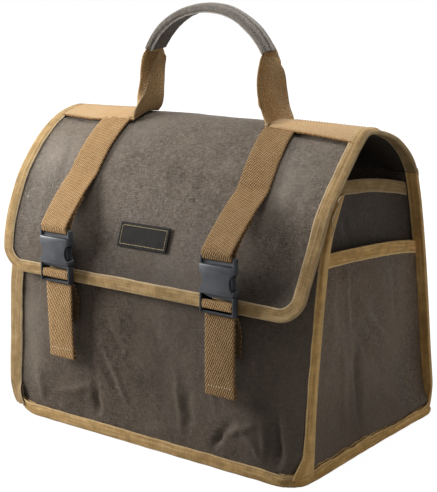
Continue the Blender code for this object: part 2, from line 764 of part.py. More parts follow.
def add_anchor(builder, name, x, web):
    """The webbing sewn to the front panel that rises to the ladder."""
    sewn = [(front_y(x, z) - 0.0007 - WEB_THICK / 2, z) for z in (0.1255, 0.1330, 0.1405)]
    free = [(-0.1440, 0.1500), (-0.1465, 0.1590), (-0.1492, 0.1672)]
    route = Route(sewn + free)

    def place(u, v):
        along = route.tangent(v)
        normal = Vector((-along.y, along.x))
        p = route.at(v) + normal * WEB_THICK / 2
        return Vector((x + (u - 0.5) * WEB_WIDTH, p.x, p.y))

    anchor = grid_sheet(name + "_anchor_web", 6, 10, place, WEB_THICK, (0, -1, 0))
    builder.add(anchor, web)


# Handle

def add_ridge_web(builder, name, side, web):
    """Webbing along the ridge from one end of the lid, turned up as the stub of the handle's leg."""
    turn = 0.0040
    lift = 0.0009 + WEB_THICK
    stub_x = HANDLE_BASE_X + WEB_THICK
    half = RIDGE_WEB_WIDTH / 2
    run_length = SEAM_X - 2 * GAP - stub_x - turn
    top = HANDLE_AXIS_Z + half - 0.0006
    stations = [("run", k / 8) for k in range(8)] + [("turn", k / 4) for k in range(4)]
    stations += [("stub", k / 7) for k in range(8)]
    last = len(stations) - 1

    def place(u, v):
        kind, share = stations[round(v * last)]
        y = RIDGE_WEB_Y + (u - 0.5) * RIDGE_WEB_WIDTH
        run_x = SEAM_X - 2 * GAP - run_length * (share if kind == "run" else 1.0)
        length = lid_length_where(side * run_x, 1, y, 0.0, 1.0)
        ground = lid_point(side * run_x, length, lift)
        if kind == "run":
            return ground
        base = ground.z
        if kind == "turn":
            angle = math.radians(90) * share
            return Vector((side * (stub_x + turn - turn * math.sin(angle)), y,
                           base + turn - turn * math.cos(angle)))
        foot = base + turn
        reach = half * math.sin(math.acos(min(abs(2 * u - 1), 1.0) * 0.999))
        z = foot + (HANDLE_AXIS_Z + reach - 0.0006 - foot) * share
        return Vector((side * stub_x, y, min(z, top)))

    web_piece = grid_sheet(name + "_ridge_web", 6, last, place, WEB_THICK, (0, 0, 1))
    builder.add(web_piece, web, "lid_hinge")


def handle_route():
    """Middle line, in (x, z), of the handle webbing from one foot over the arch to the other."""
    foot_x = HANDLE_BASE_X - 0.0020
    leg = [(foot_x, HANDLE_AXIS_Z - 0.019), (foot_x, HANDLE_AXIS_Z), (foot_x + 0.0005, HANDLE_AXIS_Z + 0.014),
           (foot_x - 0.0005, 0.3990), (foot_x - 0.0035, 0.4100)]
    arch = []
    for k in range(13):
        angle = GRIP_END_ANGLE + (math.pi - 2 * GRIP_END_ANGLE) * k / 12
        arch.append((GRIP_RADIUS * math.cos(angle), GRIP_CENTRE_Z + GRIP_RADIUS * math.sin(angle)))
    return Route(leg + arch + [(-x, z) for x, z in reversed(leg)])


def add_handle(builder, web, canvas):
    route = handle_route()
    half = RIDGE_WEB_WIDTH / 2
    core_half = 0.0068
    thick = 0.0022

    def half_width(share):
        z = route.at(share).y
        if z < HANDLE_AXIS_Z:
            drop = (HANDLE_AXIS_Z - z) / half
            return half * math.sqrt(max(1 - drop ** 2, 0.0015))
        fold = min(max((z - 0.3880) / 0.0270, 0.0), 1.0)
        fold = fold * fold * (3 - 2 * fold)
        return half + (core_half - half) * fold

    def web_place(u, v):
        x, z = route.at(v)
        along = route.tangent(v)
        normal = Vector((-along.y, along.x))
        y = RIDGE_WEB_Y + (2 * u - 1) * half_width(v)
        return Vector((x - normal.x * thick / 2, y, z - normal.y * thick / 2))

    handle_web = grid_sheet("handle_web", 2, 56, web_place, thick, (0, 0, 1))
    builder.add(handle_web, web, "handle_axis")

    bpy.ops.mesh.primitive_cylinder_add(vertices=12, radius=1, depth=2, end_fill_type="NOTHING")
    grip = bpy.context.active_object
    grip.name = "handle_grip"
    form = bmesh.new()
    form.from_mesh(grip.data)
    bmesh.ops.subdivide_edges(form, edges=[e for e in form.edges if abs(e.verts[0].co.z - e.verts[1].co.z) > 1],
                              cuts=13)
    for vertex in form.verts:
        share = (vertex.co.z + 1) / 2
        angle = GRIP_END_ANGLE + (math.pi - 2 * GRIP_END_ANGLE) * share
        out = GRIP_RADIUS + vertex.co.x * GRIP_THICK / 2
        across = vertex.co.y
        across = math.copysign(abs(across) ** 0.8, across)
        vertex.co = (out * math.cos(angle), RIDGE_WEB_Y + across * GRIP_WIDTH / 2,
                     GRIP_CENTRE_Z + out * math.sin(angle))
    bmesh.ops.recalc_face_normals(form, faces=form.faces)
    form.to_mesh(grip.data)
    form.free()
    thicken(grip, 0.0016)
    builder.add(grip, canvas, "handle_axis")


def main():
    clear_scene()
    builder = Builder()
    canvas = new_material("waxed_canvas", (0.105, 0.082, 0.063), 0.72)
    tape = new_material("binding_tape", (0.36, 0.25, 0.13), 0.85)
    web = new_material("webbing", (0.33, 0.19, 0.085), 0.88)
    plastic = new_material("buckle_plastic", (0.075, 0.082, 0.098), 0.42)
    board = new_material("stiffener_board", (0.04, 0.04, 0.04), 0.60)
    label_cloth = new_material("woven_label", (0.012, 0.012, 0.012), 0.80)

    builder.axis("bag_base", (0, 0, 0))
    builder.axis("lid_hinge", LID_HINGE, "bag_base")
    builder.axis("handle_axis", (0, RIDGE_WEB_Y, HANDLE_AXIS_Z), "lid_hinge")
    add_panels(builder, canvas, board)
    add_foot_tapes(builder, tape)
    add_seam_tapes(builder, tape)
    add_lid(builder, canvas, tape, label_cloth)
    for side, name in ((-1, "left"), (1, "right")):
        x = side * STRAP_X
        slide = name + "_buckle_slide"
        builder.axis(slide, (x, BUCKLE_MID, HOUSING_LOW), "bag_base")
        builder.axis(name + "_tail_axis", (x, TAIL_AXIS.y, TAIL_AXIS.z), slide)
        add_strap(builder, name, x, web)
        add_housing(builder, name, x, plastic)
        add_ladder(builder, name, x, plastic, web)
        for prong_side, letter in ((-1, "a"), (1, "b")):
            pivot = (x + prong_side * PRONG_PIVOT_X, BUCKLE_MID, PRONG_PIVOT_Z)
            builder.axis(name + "_prong_" + letter + "_pivot", pivot, slide)
            add_prong(builder, name, x, prong_side, plastic)
        add_tail(builder, name, x, web)
        add_anchor(builder, name, x, web)
        add_ridge_web(builder, name, side, web)
    add_handle(builder, web, canvas)


main()
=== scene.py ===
import bisect
import math

import bmesh
import bpy
from mathutils import Matrix, Vector, noise


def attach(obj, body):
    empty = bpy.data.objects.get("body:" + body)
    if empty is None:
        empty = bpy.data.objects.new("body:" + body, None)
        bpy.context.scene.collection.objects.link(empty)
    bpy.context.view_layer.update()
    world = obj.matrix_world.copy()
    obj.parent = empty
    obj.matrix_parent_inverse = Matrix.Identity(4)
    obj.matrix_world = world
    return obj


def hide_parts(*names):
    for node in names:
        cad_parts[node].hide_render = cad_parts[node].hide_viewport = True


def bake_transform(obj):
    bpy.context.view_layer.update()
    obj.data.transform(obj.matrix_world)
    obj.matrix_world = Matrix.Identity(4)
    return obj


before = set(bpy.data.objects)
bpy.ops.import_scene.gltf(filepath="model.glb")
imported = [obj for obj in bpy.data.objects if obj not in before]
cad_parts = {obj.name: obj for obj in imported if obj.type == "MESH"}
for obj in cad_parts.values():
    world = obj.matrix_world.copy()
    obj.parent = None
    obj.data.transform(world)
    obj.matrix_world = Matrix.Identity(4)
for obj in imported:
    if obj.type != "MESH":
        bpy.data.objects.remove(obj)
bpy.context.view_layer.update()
print("frame loaded:", len(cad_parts), "nodes")

# Sizes of the bag, the same as in the part's source, in metres
bag = {
    "width": 0.400, "depth": 0.293, "cornerRadius": 0.024,
    "panelTop": 0.287, "backTop": 0.2886, "pocketTop": 0.226,
    "canvas": 0.0022, "gap": 0.0003,
    "seamX": 0.1855, "sideX": 0.1825,
    "hinge": (0.0, 0.0858, 0.2906),
    "backBulge": 0.006,
}
halfWidth = bag["width"] / 2
halfDepth = bag["depth"] / 2
seamX = bag["seamX"]
sideX = bag["sideX"]
canvasThick = bag["canvas"]
gap = bag["gap"]

# Sections of the front at its left seam, middle and right seam, and of the back: (height, y)
frontLeft = ((0.000, -0.138), (0.015, -0.139), (0.040, -0.142), (0.095, -0.1415), (0.130, -0.140),
             (0.165, -0.138), (0.200, -0.132), (0.250, -0.112), (0.290, -0.090))
frontMiddle = ((0.000, -0.1465), (0.030, -0.1450), (0.060, -0.1435), (0.100, -0.1425), (0.140, -0.1410),
               (0.171, -0.1385), (0.195, -0.1335), (0.230, -0.1205), (0.260, -0.105), (0.290, -0.086))
frontRight = ((0.000, -0.1190), (0.015, -0.1180), (0.028, -0.1172), (0.043, -0.1168), (0.067, -0.1160),
              (0.108, -0.1125), (0.147, -0.108), (0.187, -0.103), (0.230, -0.096), (0.250, -0.090),
              (0.270, -0.080), (0.290, -0.069))
backSection = ((0.000, 0.1465), (0.030, 0.1420), (0.080, 0.1325), (0.139, 0.1220), (0.200, 0.1100),
               (0.255, 0.0965), (0.290, 0.0850))
# How far the left front seam stands out from the plain outline: (height, distance)
seamSwell = ((0.000, -0.0120), (0.007, -0.0034), (0.0154, 0.0020), (0.030, 0.0050), (0.044, 0.0047),
             (0.094, 0.0020), (0.150, 0.0015), (0.190, 0.0), (0.290, 0.0))
# Sections of the lid from the hinge over the ridge to its lower edge: (y, z)
lidBack = ((0.0842, 0.2922), (0.0730, 0.3070), (0.0560, 0.3210), (0.0350, 0.3345), (0.0080, 0.3440),
           (-0.0200, 0.3470))
lidLeft = lidBack[:4] + ((0.0080, 0.3425), (-0.0200, 0.3452), (-0.0450, 0.3415), (-0.0680, 0.3325),
                         (-0.0930, 0.3130), (-0.1200, 0.2810), (-0.1370, 0.2470), (-0.1460, 0.2180),
                         (-0.1490, 0.1930), (-0.1470, 0.1700))
lidMiddle = lidBack + ((-0.0420, 0.3400), (-0.0620, 0.3270), (-0.0850, 0.3060), (-0.1080, 0.2760),
                       (-0.1240, 0.2470), (-0.1350, 0.2180), (-0.1430, 0.1930), (-0.1470, 0.1700))
lidRight = lidBack[:3] + ((0.0350, 0.3328), (0.0080, 0.3408), (-0.0200, 0.3432), (-0.0380, 0.3318),
                          (-0.0550, 0.3150), (-0.0760, 0.2930), (-0.0950, 0.2720), (-0.1080, 0.2460),
                          (-0.1210, 0.2210), (-0.1350, 0.1960), (-0.1470, 0.1700))


# Curves

def clamp(value, low=0.0, high=1.0):
    return min(max(value, low), high)


def smoothStep(low, high, value):
    t = clamp((value - low) / (high - low))
    return t * t * (3 - 2 * t)


def heightCurve(points, z):
    # smooth curve through (height, value) points
    last = len(points) - 1
    i = 0
    while i < last - 1 and z > points[i + 1][0]:
        i += 1
    (z0, y0), (z1, y1) = points[i], points[i + 1]
    before, after = points[max(i - 1, 0)], points[min(i + 2, last)]
    slope0 = (y1 - before[1]) / (z1 - before[0])
    slope1 = (after[1] - y0) / (after[0] - z0)
    step = z1 - z0
    t = (z - z0) / step
    return ((2 * t ** 3 - 3 * t ** 2 + 1) * y0 + (t ** 3 - 2 * t ** 2 + t) * step * slope0
            + (3 * t ** 2 - 2 * t ** 3) * y1 + (t ** 3 - t ** 2) * step * slope1)


def makeRoute(points, perSpan=12):
    # a smooth curve through a few points, read by its share of length
    points = [Vector(p) for p in points]
    ends = [2 * points[0] - points[1]] + points + [2 * points[-1] - points[-2]]
    path = []
    for a, b, c, d in zip(ends, ends[1:], ends[2:], ends[3:]):
        for k in range(perSpan):
            t = k / perSpan
            path.append(0.5 * (2 * b + (c - a) * t + (2 * a - 5 * b + 4 * c - d) * t ** 2
                               + (3 * b - a - 3 * c + d) * t ** 3))
    path.append(points[-1])
    lengths = [0.0]
    for a, b in zip(path, path[1:]):
        lengths.append(lengths[-1] + (b - a).length)
    return {"path": path, "lengths": lengths, "length": lengths[-1]}


def routeAt(route, share):
    wanted = clamp(share) * route["length"]
    i = min(max(bisect.bisect_left(route["lengths"], wanted) - 1, 0), len(route["path"]) - 2)
    low, high = route["lengths"][i], route["lengths"][i + 1]
    return route["path"][i].lerp(route["path"][i + 1], (wanted - low) / (high - low))


def routeTangent(route, share, reach=0.004):
    ahead, behind = routeAt(route, min(share + reach, 1.0)), routeAt(route, max(share - reach, 0.0))
    return (ahead - behind).normalized()


lidSections = [makeRoute(points, 10) for points in (lidLeft, lidMiddle, lidRight)]
lidLength = lidSections[1]["length"]
lidRows = {}


# Surfaces of the bag

def frontY(x, z):
    # the corner is rounder high up and tighter at the foot
    u = x / halfWidth
    middle = heightCurve(frontMiddle, z)
    seam = heightCurve(frontLeft if u < 0 else frontRight, z)
    tight = 2.2 + (6.0 * math.exp(-max(z - 0.010, 0.0) / 0.030) if u > 0 else 0.0)
    return middle + (seam - middle) * min(max((abs(u) - 0.5) / 0.5, 0.0) ** tight, 1.3)


def seamOut(side, z):
    # how far the front seam swells out beyond the plain outline, and turns in at the foot
    return 0.0 if side > 0 else heightCurve(seamSwell, z)


def cornerShare(x, y):
    return clamp(1 - math.hypot(halfWidth - abs(x), halfDepth - abs(y)) / 0.042)


def footRise(x, y):
    # the foot's rounded corners stand a little off the floor, but for the front right one
    rise = (0.0 if y < 0 else 0.0015) if x > 0 else (0.0250 if y < 0 else 0.0150)
    return rise * cornerShare(x, y) ** 2.2


def footY(x):
    # the foot's front outline, up to the middle of its corners
    radius, reach = bag["cornerRadius"], halfWidth - bag["cornerRadius"]
    into = min(max(abs(x) - reach, 0.0), 0.71 * radius)
    return -(halfDepth - radius + math.sqrt(radius ** 2 - into ** 2))


def backY(x, z):
    rise = math.sin(math.pi * clamp(z / bag["panelTop"]))
    turnIn = 0.0060 * clamp((0.045 - z) / 0.045) ** 2.6 * smoothStep(0.160, 0.195, abs(x))
    return heightCurve(backSection, z) + bag["backBulge"] * rise * (1 - (x / halfWidth) ** 2) - turnIn


def sideTop(y):
    return 0.2930 - 0.090 * (y + 0.010) - 0.75 * (y + 0.010) ** 2


def pocketTop(y):
    return bag["pocketTop"] - 0.070 * (y + 0.016) - 0.55 * (y + 0.016) ** 2


def pocketX(y, z):
    front, back = frontY(seamX, z), backY(seamX, z)
    across = math.sin(math.pi * clamp((y - front) / (back - front)))
    flare = 0.0085 * math.exp(-max(z - 0.015, 0.0) / 0.030)
    flare *= 1 - smoothStep(0.012, 0.045, z) * (1 - smoothStep(-0.004, 0.030, back - y))
    return seamX + 0.0018 + flare + 0.0105 * across * (z / bag["pocketTop"]) ** 1.3


def lidRow(length):
    key = round(length, 7)
    if key not in lidRows:
        share = length / lidLength
        lidRows[key] = [(routeAt(s, share), routeTangent(s, share)) for s in lidSections]
    return lidRows[key]


def lidPoint(x, length, lift=0.0):
    # a point of the lid's outer face, that far across and along it from the hinge
    edge = max((abs(x) / halfWidth - 0.15) / 0.85, 0.0) ** 1.5
    weights = (edge if x < 0 else 0.0, 1 - edge, edge if x > 0 else 0.0)
    place, along = Vector((0.0, 0.0)), Vector((0.0, 0.0))
    for weight, (spot, tangent) in zip(weights, lidRow(length)):
        place += weight * spot
        along += weight * tangent
    normal = Vector((along.y, -along.x)).normalized()
    place += lift * normal
    return Vector((x, place.x, place.y))


def lidLengthWhere(x, coordinate, value, low=0.25, high=1.0):
    low, high = low * lidLength, high * lidLength
    for _ in range(22):
        middle = (low + high) / 2
        if lidPoint(x, middle)[coordinate] > value:
            low = middle
        else:
            high = middle
    return low


def rumple(a, b, c, size):
    # a soft uneven number between -1 and 1, with bumps about this many metres apart
    return noise.noise(Vector((a, b, c)) / size)


def creaseLift(a, b, creases):
    # folds pressed into the cloth: each runs from (a0, b0) to (a1, b1) with a width and a depth
    lift = 0.0
    for a0, b0, a1, b1, width, depth in creases:
        da, db = a1 - a0, b1 - b0
        t = clamp(((a - a0) * da + (b - b0) * db) / (da * da + db * db))
        wander = 0.8 * width * rumple(t * 0.3, a0 * 3, b0 * 3, 0.09)
        length = math.hypot(da, db)
        off = math.hypot(a - a0 - t * da, b - b0 - t * db)
        if off > 4 * width:
            continue
        side = ((a - a0) * db - (b - b0) * da) / length + wander
        off = math.hypot(side, max(off * off - side * side, 0.0) ** 0.5 * 0.4)
        fade = 0.35 + 0.65 * math.sin(math.pi * clamp(t, 0.04, 0.96))
        lift += depth * math.exp(-(off / width) ** 2) * fade
    return lift


def sagDepth(folds, broadPlace, finePlace):
    # how far slack cloth hangs in: broad waves with finer ones on them
    broad = folds["soft"] * (0.5 + 0.5 * rumple(*broadPlace, folds["softSize"]))
    return broad + folds["fine"] * (0.5 + 0.5 * rumple(*finePlace, folds["fineSize"]))


def spot(a, b, a0, b0, reachA, reachB):
    # 1 at a place and fading out round it
    return math.exp(-((a - a0) / reachA) ** 2 - ((b - b0) / reachB) ** 2)


def paintedLightAndShadeAt(a, b, marks):
    # painted light and shade: marks are (strength, a, b, reach in a, reach in b), above zero painted light
    # and below zero painted shade
    return sum(strength * spot(a, b, *mark) for strength, *mark in marks)


# Modelling helpers

def deselectAll():
    if bpy.context.mode != "OBJECT":
        bpy.ops.object.mode_set(mode="OBJECT")
    bpy.ops.object.select_all(action="DESELECT")


def makeActive(piece):
    deselectAll()
    piece.select_set(True)
    bpy.context.view_layer.objects.active = piece


def applyAll(piece):
    makeActive(piece)
    for modifier in list(piece.modifiers):
        bpy.ops.object.modifier_apply(modifier=modifier.name)


def shadeSmooth(piece, degrees=50):
    makeActive(piece)
    bpy.ops.object.shade_smooth_by_angle(angle=math.radians(degrees))


def addThickness(piece, thickness, rim=0.0, even=True, rimSteps=2):
    solid = piece.modifiers.new("thickness", "SOLIDIFY")
    solid.thickness = thickness
    solid.offset = -1.0
    solid.use_even_offset = even
    solid.thickness_clamp = 0.0
    if rim:
        edge = piece.modifiers.new("rim", "BEVEL")
        edge.width = rim
        edge.segments = rimSteps
        edge.limit_method = "ANGLE"
        edge.angle_limit = math.radians(60)
    applyAll(piece)


def gridPiece(name, across, along, place, patternAt):
    # a grid laid over place(u, v), with patternAt(u, v) as its place on the flat cloth, in metres
    deselectAll()
    bpy.ops.mesh.primitive_grid_add(x_subdivisions=across, y_subdivisions=along, size=2)
    piece = bpy.context.active_object
    piece.name = name
    piece.data.name = name
    shares = [((p.co.x + 1) / 2, (p.co.y + 1) / 2) for p in piece.data.vertices]
    pattern = piece.data.uv_layers[0]
    pattern.name = "cloth"
    for corner in piece.data.loops:
        pattern.data[corner.index].uv = patternAt(*shares[corner.vertex_index])
    for point, (u, v) in zip(piece.data.vertices, shares):
        point.co = place(u, v)
    return piece, shares


def setRim(piece, valueAt, inner=0.0):
    # painted light (above zero) and painted shade (below zero) at each place, for the material; the inner
    # face gets more painted shade
    rims = piece.data.attributes.new("rim", "FLOAT", "POINT")
    count = len(rims.data) // 2
    for index, (value, point) in enumerate(zip(rims.data, piece.data.vertices)):
        value.value = valueAt(point.co) - (inner if index >= count else 0.0)


def clothSheet(name, across, along, place, size, thickness, outward, rim=0.0, rimAt=None, smooth=50):
    sheet, shares = gridPiece(name, across, along, place, lambda u, v: (u * size[0], v * size[1]))
    if rimAt:
        rims = sheet.data.attributes.new("rim", "FLOAT", "POINT")
        for value, share in zip(rims.data, shares):
            value.value = rimAt(*share)
    if sum(face.normal.dot(Vector(outward)) for face in sheet.data.polygons) < 0:
        sheet.data.flip_normals()
    addThickness(sheet, thickness, rim)
    shadeSmooth(sheet, smooth)
    return sheet


def finishPiece(piece, material, body, slotName, *nodes):
    piece.data.materials.clear()
    piece.data.materials.append(material)
    if body:
        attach(piece, body)
    if nodes:
        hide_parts(*nodes)
    return piece


# Shader nodes

def addNode(tree, kind, values=None, **settings):
    node = tree.nodes.new(kind)
    for key, value in settings.items():
        setattr(node, key, value)
    for key, value in (values or {}).items():
        if isinstance(value, bpy.types.NodeSocket):
            tree.links.new(value, node.inputs[key])
        else:
            node.inputs[key].default_value = value
    return node


def calc(tree, operation, a, b=None, c=None, limit=False):
    values = {i: v for i, v in enumerate((a, b, c)) if v is not None}
    return addNode(tree, "ShaderNodeMath", values, operation=operation, use_clamp=limit).outputs[0]


def remap(tree, value, low, high, toLow=0.0, toHigh=1.0):
    node = addNode(tree, "ShaderNodeMapRange", {"Value": value, "From Min": low, "From Max": high,
                                                "To Min": toLow, "To Max": toHigh})
    return node.outputs["Result"]


def stretched(tree, vector, scale):
    return addNode(tree, "ShaderNodeMapping", {"Vector": vector, "Scale": scale}).outputs["Vector"]


def speckle(tree, vector, scale, detail=2.0, rough=0.5):
    return addNode(tree, "ShaderNodeTexNoise", {"Vector": vector, "Scale": scale, "Detail": detail,
                                                "Roughness": rough}).outputs["Fac"]


def mixColour(tree, share, first, second, blend="MIX"):
    node = addNode(tree, "ShaderNodeMix", data_type="RGBA", blend_type=blend)
    for index, value in ((0, share), (6, first), (7, second)):
        if isinstance(value, bpy.types.NodeSocket):
            tree.links.new(value, node.inputs[index])
        else:
            node.inputs[index].default_value = value
    return node.outputs[2]


def layer(tree, under, mask, share, over, limit=False):
    # lays one colour over another, as strongly as the mask times the share
    return mixColour(tree, calc(tree, "MULTIPLY", mask, share, limit=limit), under, over)


def startGroup(name, inputs, outputs):
    group = bpy.data.node_groups.new(name, "ShaderNodeTree")
    for label, kind, value in inputs:
        socket = group.interface.new_socket(name=label, in_out="INPUT", socket_type=kind)
        if value is not None:
            socket.default_value = value
    for label in outputs:
        group.interface.new_socket(name=label, in_out="OUTPUT", socket_type="NodeSocketFloat")
    return group, group.nodes.new("NodeGroupInput"), group.nodes.new("NodeGroupOutput")


def makeCanvasGrain():
    # slubby plain weave: long thin specks along warp and weft
    inputs = [("Cloth", "NodeSocketVector", None), ("Fine", "NodeSocketFloat", 1.0)]
    group, given, out = startGroup("canvasGrain", inputs, ["Height", "Tone", "Fleck"])
    cloth = addNode(group, "ShaderNodeVectorMath", {0: given.outputs["Cloth"], 3: given.outputs["Fine"]},
                    operation="SCALE").outputs[0]
    warp = speckle(group, stretched(group, cloth, (880, 150, 1)), 1.0, 2)
    weft = speckle(group, stretched(group, cloth, (120, 880, 1)), 1.0, 2)
    mottle = speckle(group, cloth, 430.0, 2)
    height = calc(group, "MAXIMUM", warp, weft)
    tone = calc(group, "ADD", calc(group, "MULTIPLY", calc(group, "ADD", warp, weft), 0.39),
                calc(group, "MULTIPLY", mottle, 0.22))
    group.links.new(calc(group, "ADD", height, calc(group, "MULTIPLY", mottle, 0.3)), out.inputs["Height"])
    group.links.new(remap(group, tone, 0.41, 0.59), out.inputs["Tone"])
    fleck = remap(group, speckle(group, stretched(group, cloth, (620, 900, 1)), 1.0, 1), 0.66, 0.76)
    patch = remap(group, speckle(group, cloth, 22.0, 2), 0.40, 0.60, 0.25, 1.0)
    group.links.new(calc(group, "MULTIPLY", fleck, patch), out.inputs["Fleck"])
    return group


def makeWaxWear():
    # waxed cloth: broad pale patches of wax bloom that also stand in as painted sheen, cloudy patches,
    # lighter rubbed places and thin scratches
    inputs = [("Place", "NodeSocketVector", None)]
    group, given, out = startGroup("waxWear", inputs, ["Haze", "Cloud", "Rub", "Scratch"])
    place = given.outputs["Place"]
    big = speckle(group, stretched(group, place, (15, 15, 9)), 1.0, 5, 0.62)
    mid = speckle(group, stretched(group, place, (70, 70, 34)), 1.0, 4, 0.6)
    cloud = calc(group, "ADD", calc(group, "MULTIPLY", big, 0.55), calc(group, "MULTIPLY", mid, 0.45))
    rub = speckle(group, place, 210.0, 4, 0.7)
    long = stretched(group, place, (55, 55, 9))
    line = calc(group, "ABSOLUTE", calc(group, "SUBTRACT", speckle(group, long, 1.0, 1, 0.4), 0.5))
    where = remap(group, speckle(group, place, 24.0, 1), 0.60, 0.66)
    scratch = calc(group, "MULTIPLY", remap(group, line, 0.004, 0.0), where)
    bloomAndSheen = speckle(group, stretched(group, place, (7.5, 7.5, 5.5)), 1.0, 3, 0.5)
    group.links.new(remap(group, bloomAndSheen, 0.44, 0.62), out.inputs["Haze"])
    group.links.new(remap(group, cloud, 0.41, 0.59), out.inputs["Cloud"])
    group.links.new(remap(group, rub, 0.51, 0.68), out.inputs["Rub"])
    group.links.new(scratch, out.inputs["Scratch"])
    return group


def makeTapeRibs():
    # ribbed tape: fine ribs across it, uneven and soft
    inputs = [("Cloth", "NodeSocketVector", None), ("Pitch", "NodeSocketFloat", 0.0019)]
    group, given, out = startGroup("tapeRibs", inputs, ["Height", "Tone"])
    parts = addNode(group, "ShaderNodeSeparateXYZ", {0: given.outputs["Cloth"]})
    jitter = calc(group, "MULTIPLY", speckle(group, given.outputs["Cloth"], 160.0, 2), 0.0016)
    along = calc(group, "ADD", parts.outputs["Y"], jitter)
    turn = calc(group, "MULTIPLY", calc(group, "DIVIDE", along, given.outputs["Pitch"]), 2 * math.pi)
    rib = remap(group, calc(group, "SINE", turn), -1.0, 1.0)
    patch = speckle(group, given.outputs["Cloth"], 70.0, 4, 0.6)
    group.links.new(rib, out.inputs["Height"])
    group.links.new(remap(group, patch, 0.34, 0.66), out.inputs["Tone"])
    return group


def makeTwillWeave():
    # heavy webbing: slanted rows of beads
    inputs = [("Cloth", "NodeSocketVector", None), ("Pitch", "NodeSocketFloat", 0.0025)]
    group, given, out = startGroup("twillWeave", inputs, ["Height", "Tone"])
    parts = addNode(group, "ShaderNodeSeparateXYZ", {0: given.outputs["Cloth"]})
    u, v = parts.outputs["X"], parts.outputs["Y"]
    jitter = calc(group, "MULTIPLY", speckle(group, given.outputs["Cloth"], 260.0, 3), 0.0024)
    slant = calc(group, "ADD", calc(group, "ADD", u, calc(group, "MULTIPLY", v, 0.47)), jitter)
    turn = calc(group, "MULTIPLY", calc(group, "DIVIDE", slant, given.outputs["Pitch"]), 2 * math.pi)
    rib = remap(group, calc(group, "SINE", turn), -0.9, 0.9)
    lean = calc(group, "ADD", calc(group, "SUBTRACT", v, calc(group, "MULTIPLY", u, 0.30)), jitter)
    bead = calc(group, "MULTIPLY", calc(group, "DIVIDE", lean, given.outputs["Pitch"]), 1.45 * math.pi)
    bead = remap(group, calc(group, "SINE", bead), -0.9, 0.9, 0.50, 1.0)
    height = calc(group, "MULTIPLY", rib, bead)
    patch = speckle(group, given.outputs["Cloth"], 75.0, 4, 0.65)
    group.links.new(height, out.inputs["Height"])
    group.links.new(remap(group, patch, 0.34, 0.66), out.inputs["Tone"])
    return group


canvasGrain = makeCanvasGrain()
waxWear = makeWaxWear()
tapeRibs = makeTapeRibs()
twillWeave = makeTwillWeave()


def startMaterial(name, roughness, specular=0.25, sheen=0.0):
    material = bpy.data.materials.new(name)
    material.use_nodes = True
    tree = material.node_tree
    shader = tree.nodes["Principled BSDF"]
    shader.inputs["Roughness"].default_value = roughness
    shader.inputs["Specular IOR Level"].default_value = specular
    shader.inputs["Sheen Weight"].default_value = sheen
    place = addNode(tree, "ShaderNodeTexCoord").outputs["Object"]
    cloth = addNode(tree, "ShaderNodeUVMap", uv_map="cloth").outputs["UV"]
    return material, tree, shader, place, cloth


def useGroup(tree, group, values):
    node = addNode(tree, "ShaderNodeGroup")
    node.node_tree = group
    for key, value in values.items():
        if isinstance(value, bpy.types.NodeSocket):
            tree.links.new(value, node.inputs[key])
        else:
            node.inputs[key].default_value = value
    return node.outputs


def addBump(tree, shader, height, strength, distance):
    bump = addNode(tree, "ShaderNodeBump", {"Height": height, "Strength": strength, "Distance": distance})
    tree.links.new(bump.outputs["Normal"], shader.inputs["Normal"])


canvasLook = {
    "dark": (0.050, 0.036, 0.025, 1), "middle": (0.112, 0.086, 0.063, 1), "light": (0.235, 0.196, 0.160, 1),
    # the seam colour on the next line is painted light, laid on where the rim attribute is above zero
    "wax": (0.215, 0.184, 0.158, 1), "scuff": (0.34, 0.295, 0.250, 1), "seam": (0.50, 0.44, 0.37, 1),
    "fleck": (0.44, 0.40, 0.36, 1),
    # the darkest colour on the next line is painted shade, laid on where the rim attribute is below zero
    "paintedShade": (0.022, 0.016, 0.012, 1), "roughness": 0.58, "grainBump": 0.8, "grainDepth": 0.00060,
    "bloomAndSheen": 0.42, "grain": 0.50, "rub": 0.22, "scratch": 0.5, "flecks": 0.75, "rim": 0.8,
}


def makeCanvas(name, shade=1.0, fine=1.0, warm=0.0):
    look = canvasLook
    material, tree, shader, place, cloth = startMaterial(name, look["roughness"], 0.07, 0.02)
    grain = useGroup(tree, canvasGrain, {"Cloth": cloth, "Fine": fine})
    wearAndPaintedLight = useGroup(tree, waxWear, {"Place": place})

    def tint(key):
        warmth = (1 + warm, 1.0, 1 - warm)
        return (*[c * shade * w for c, w in zip(look[key], warmth)], 1)

    ground = mixColour(tree, wearAndPaintedLight["Cloud"], tint("dark"), tint("middle"))
    # the wax colour in broad pale patches: wax bloom, with painted sheen
    ground = layer(tree, ground, wearAndPaintedLight["Haze"], look["bloomAndSheen"], tint("wax"))
    ground = layer(tree, ground, grain["Tone"], look["grain"], tint("light"))
    ground = layer(tree, ground, wearAndPaintedLight["Rub"], look["rub"], tint("scuff"))
    ground = layer(tree, ground, wearAndPaintedLight["Scratch"], look["scratch"], tint("scuff"))
    ground = layer(tree, ground, grain["Fleck"], look["flecks"], tint("fleck"))
    # rim is above zero where light is painted on with the seam colour, and below zero where shade is painted
    # in
    rim = addNode(tree, "ShaderNodeAttribute", attribute_name="rim").outputs["Fac"]
    ground = layer(tree, ground, rim, look["rim"], tint("seam"), limit=True)
    ground = layer(tree, ground, rim, -look["rim"], tint("paintedShade"), limit=True)
    tree.links.new(ground, shader.inputs["Base Color"])
    rough = remap(tree, wearAndPaintedLight["Cloud"], 0.0, 1.0, look["roughness"] - 0.10, look["roughness"] + 0.12)
    tree.links.new(rough, shader.inputs["Roughness"])
    addBump(tree, shader, grain["Height"], look["grainBump"], look["grainDepth"])
    return material


tapeLook = {
    "deep": (0.225, 0.138, 0.055, 1), "main": (0.405, 0.265, 0.115, 1), "pale": (0.56, 0.415, 0.225, 1),
    "rim": (0.60, 0.49, 0.33, 1), "roughness": 0.78, "ribBump": 0.6, "ribDepth": 0.00030,
    "ribShare": 0.20, "darkStreak": 0.55, "paleStreak": 0.50, "soil": 0.34, "rimShare": 0.55,
}


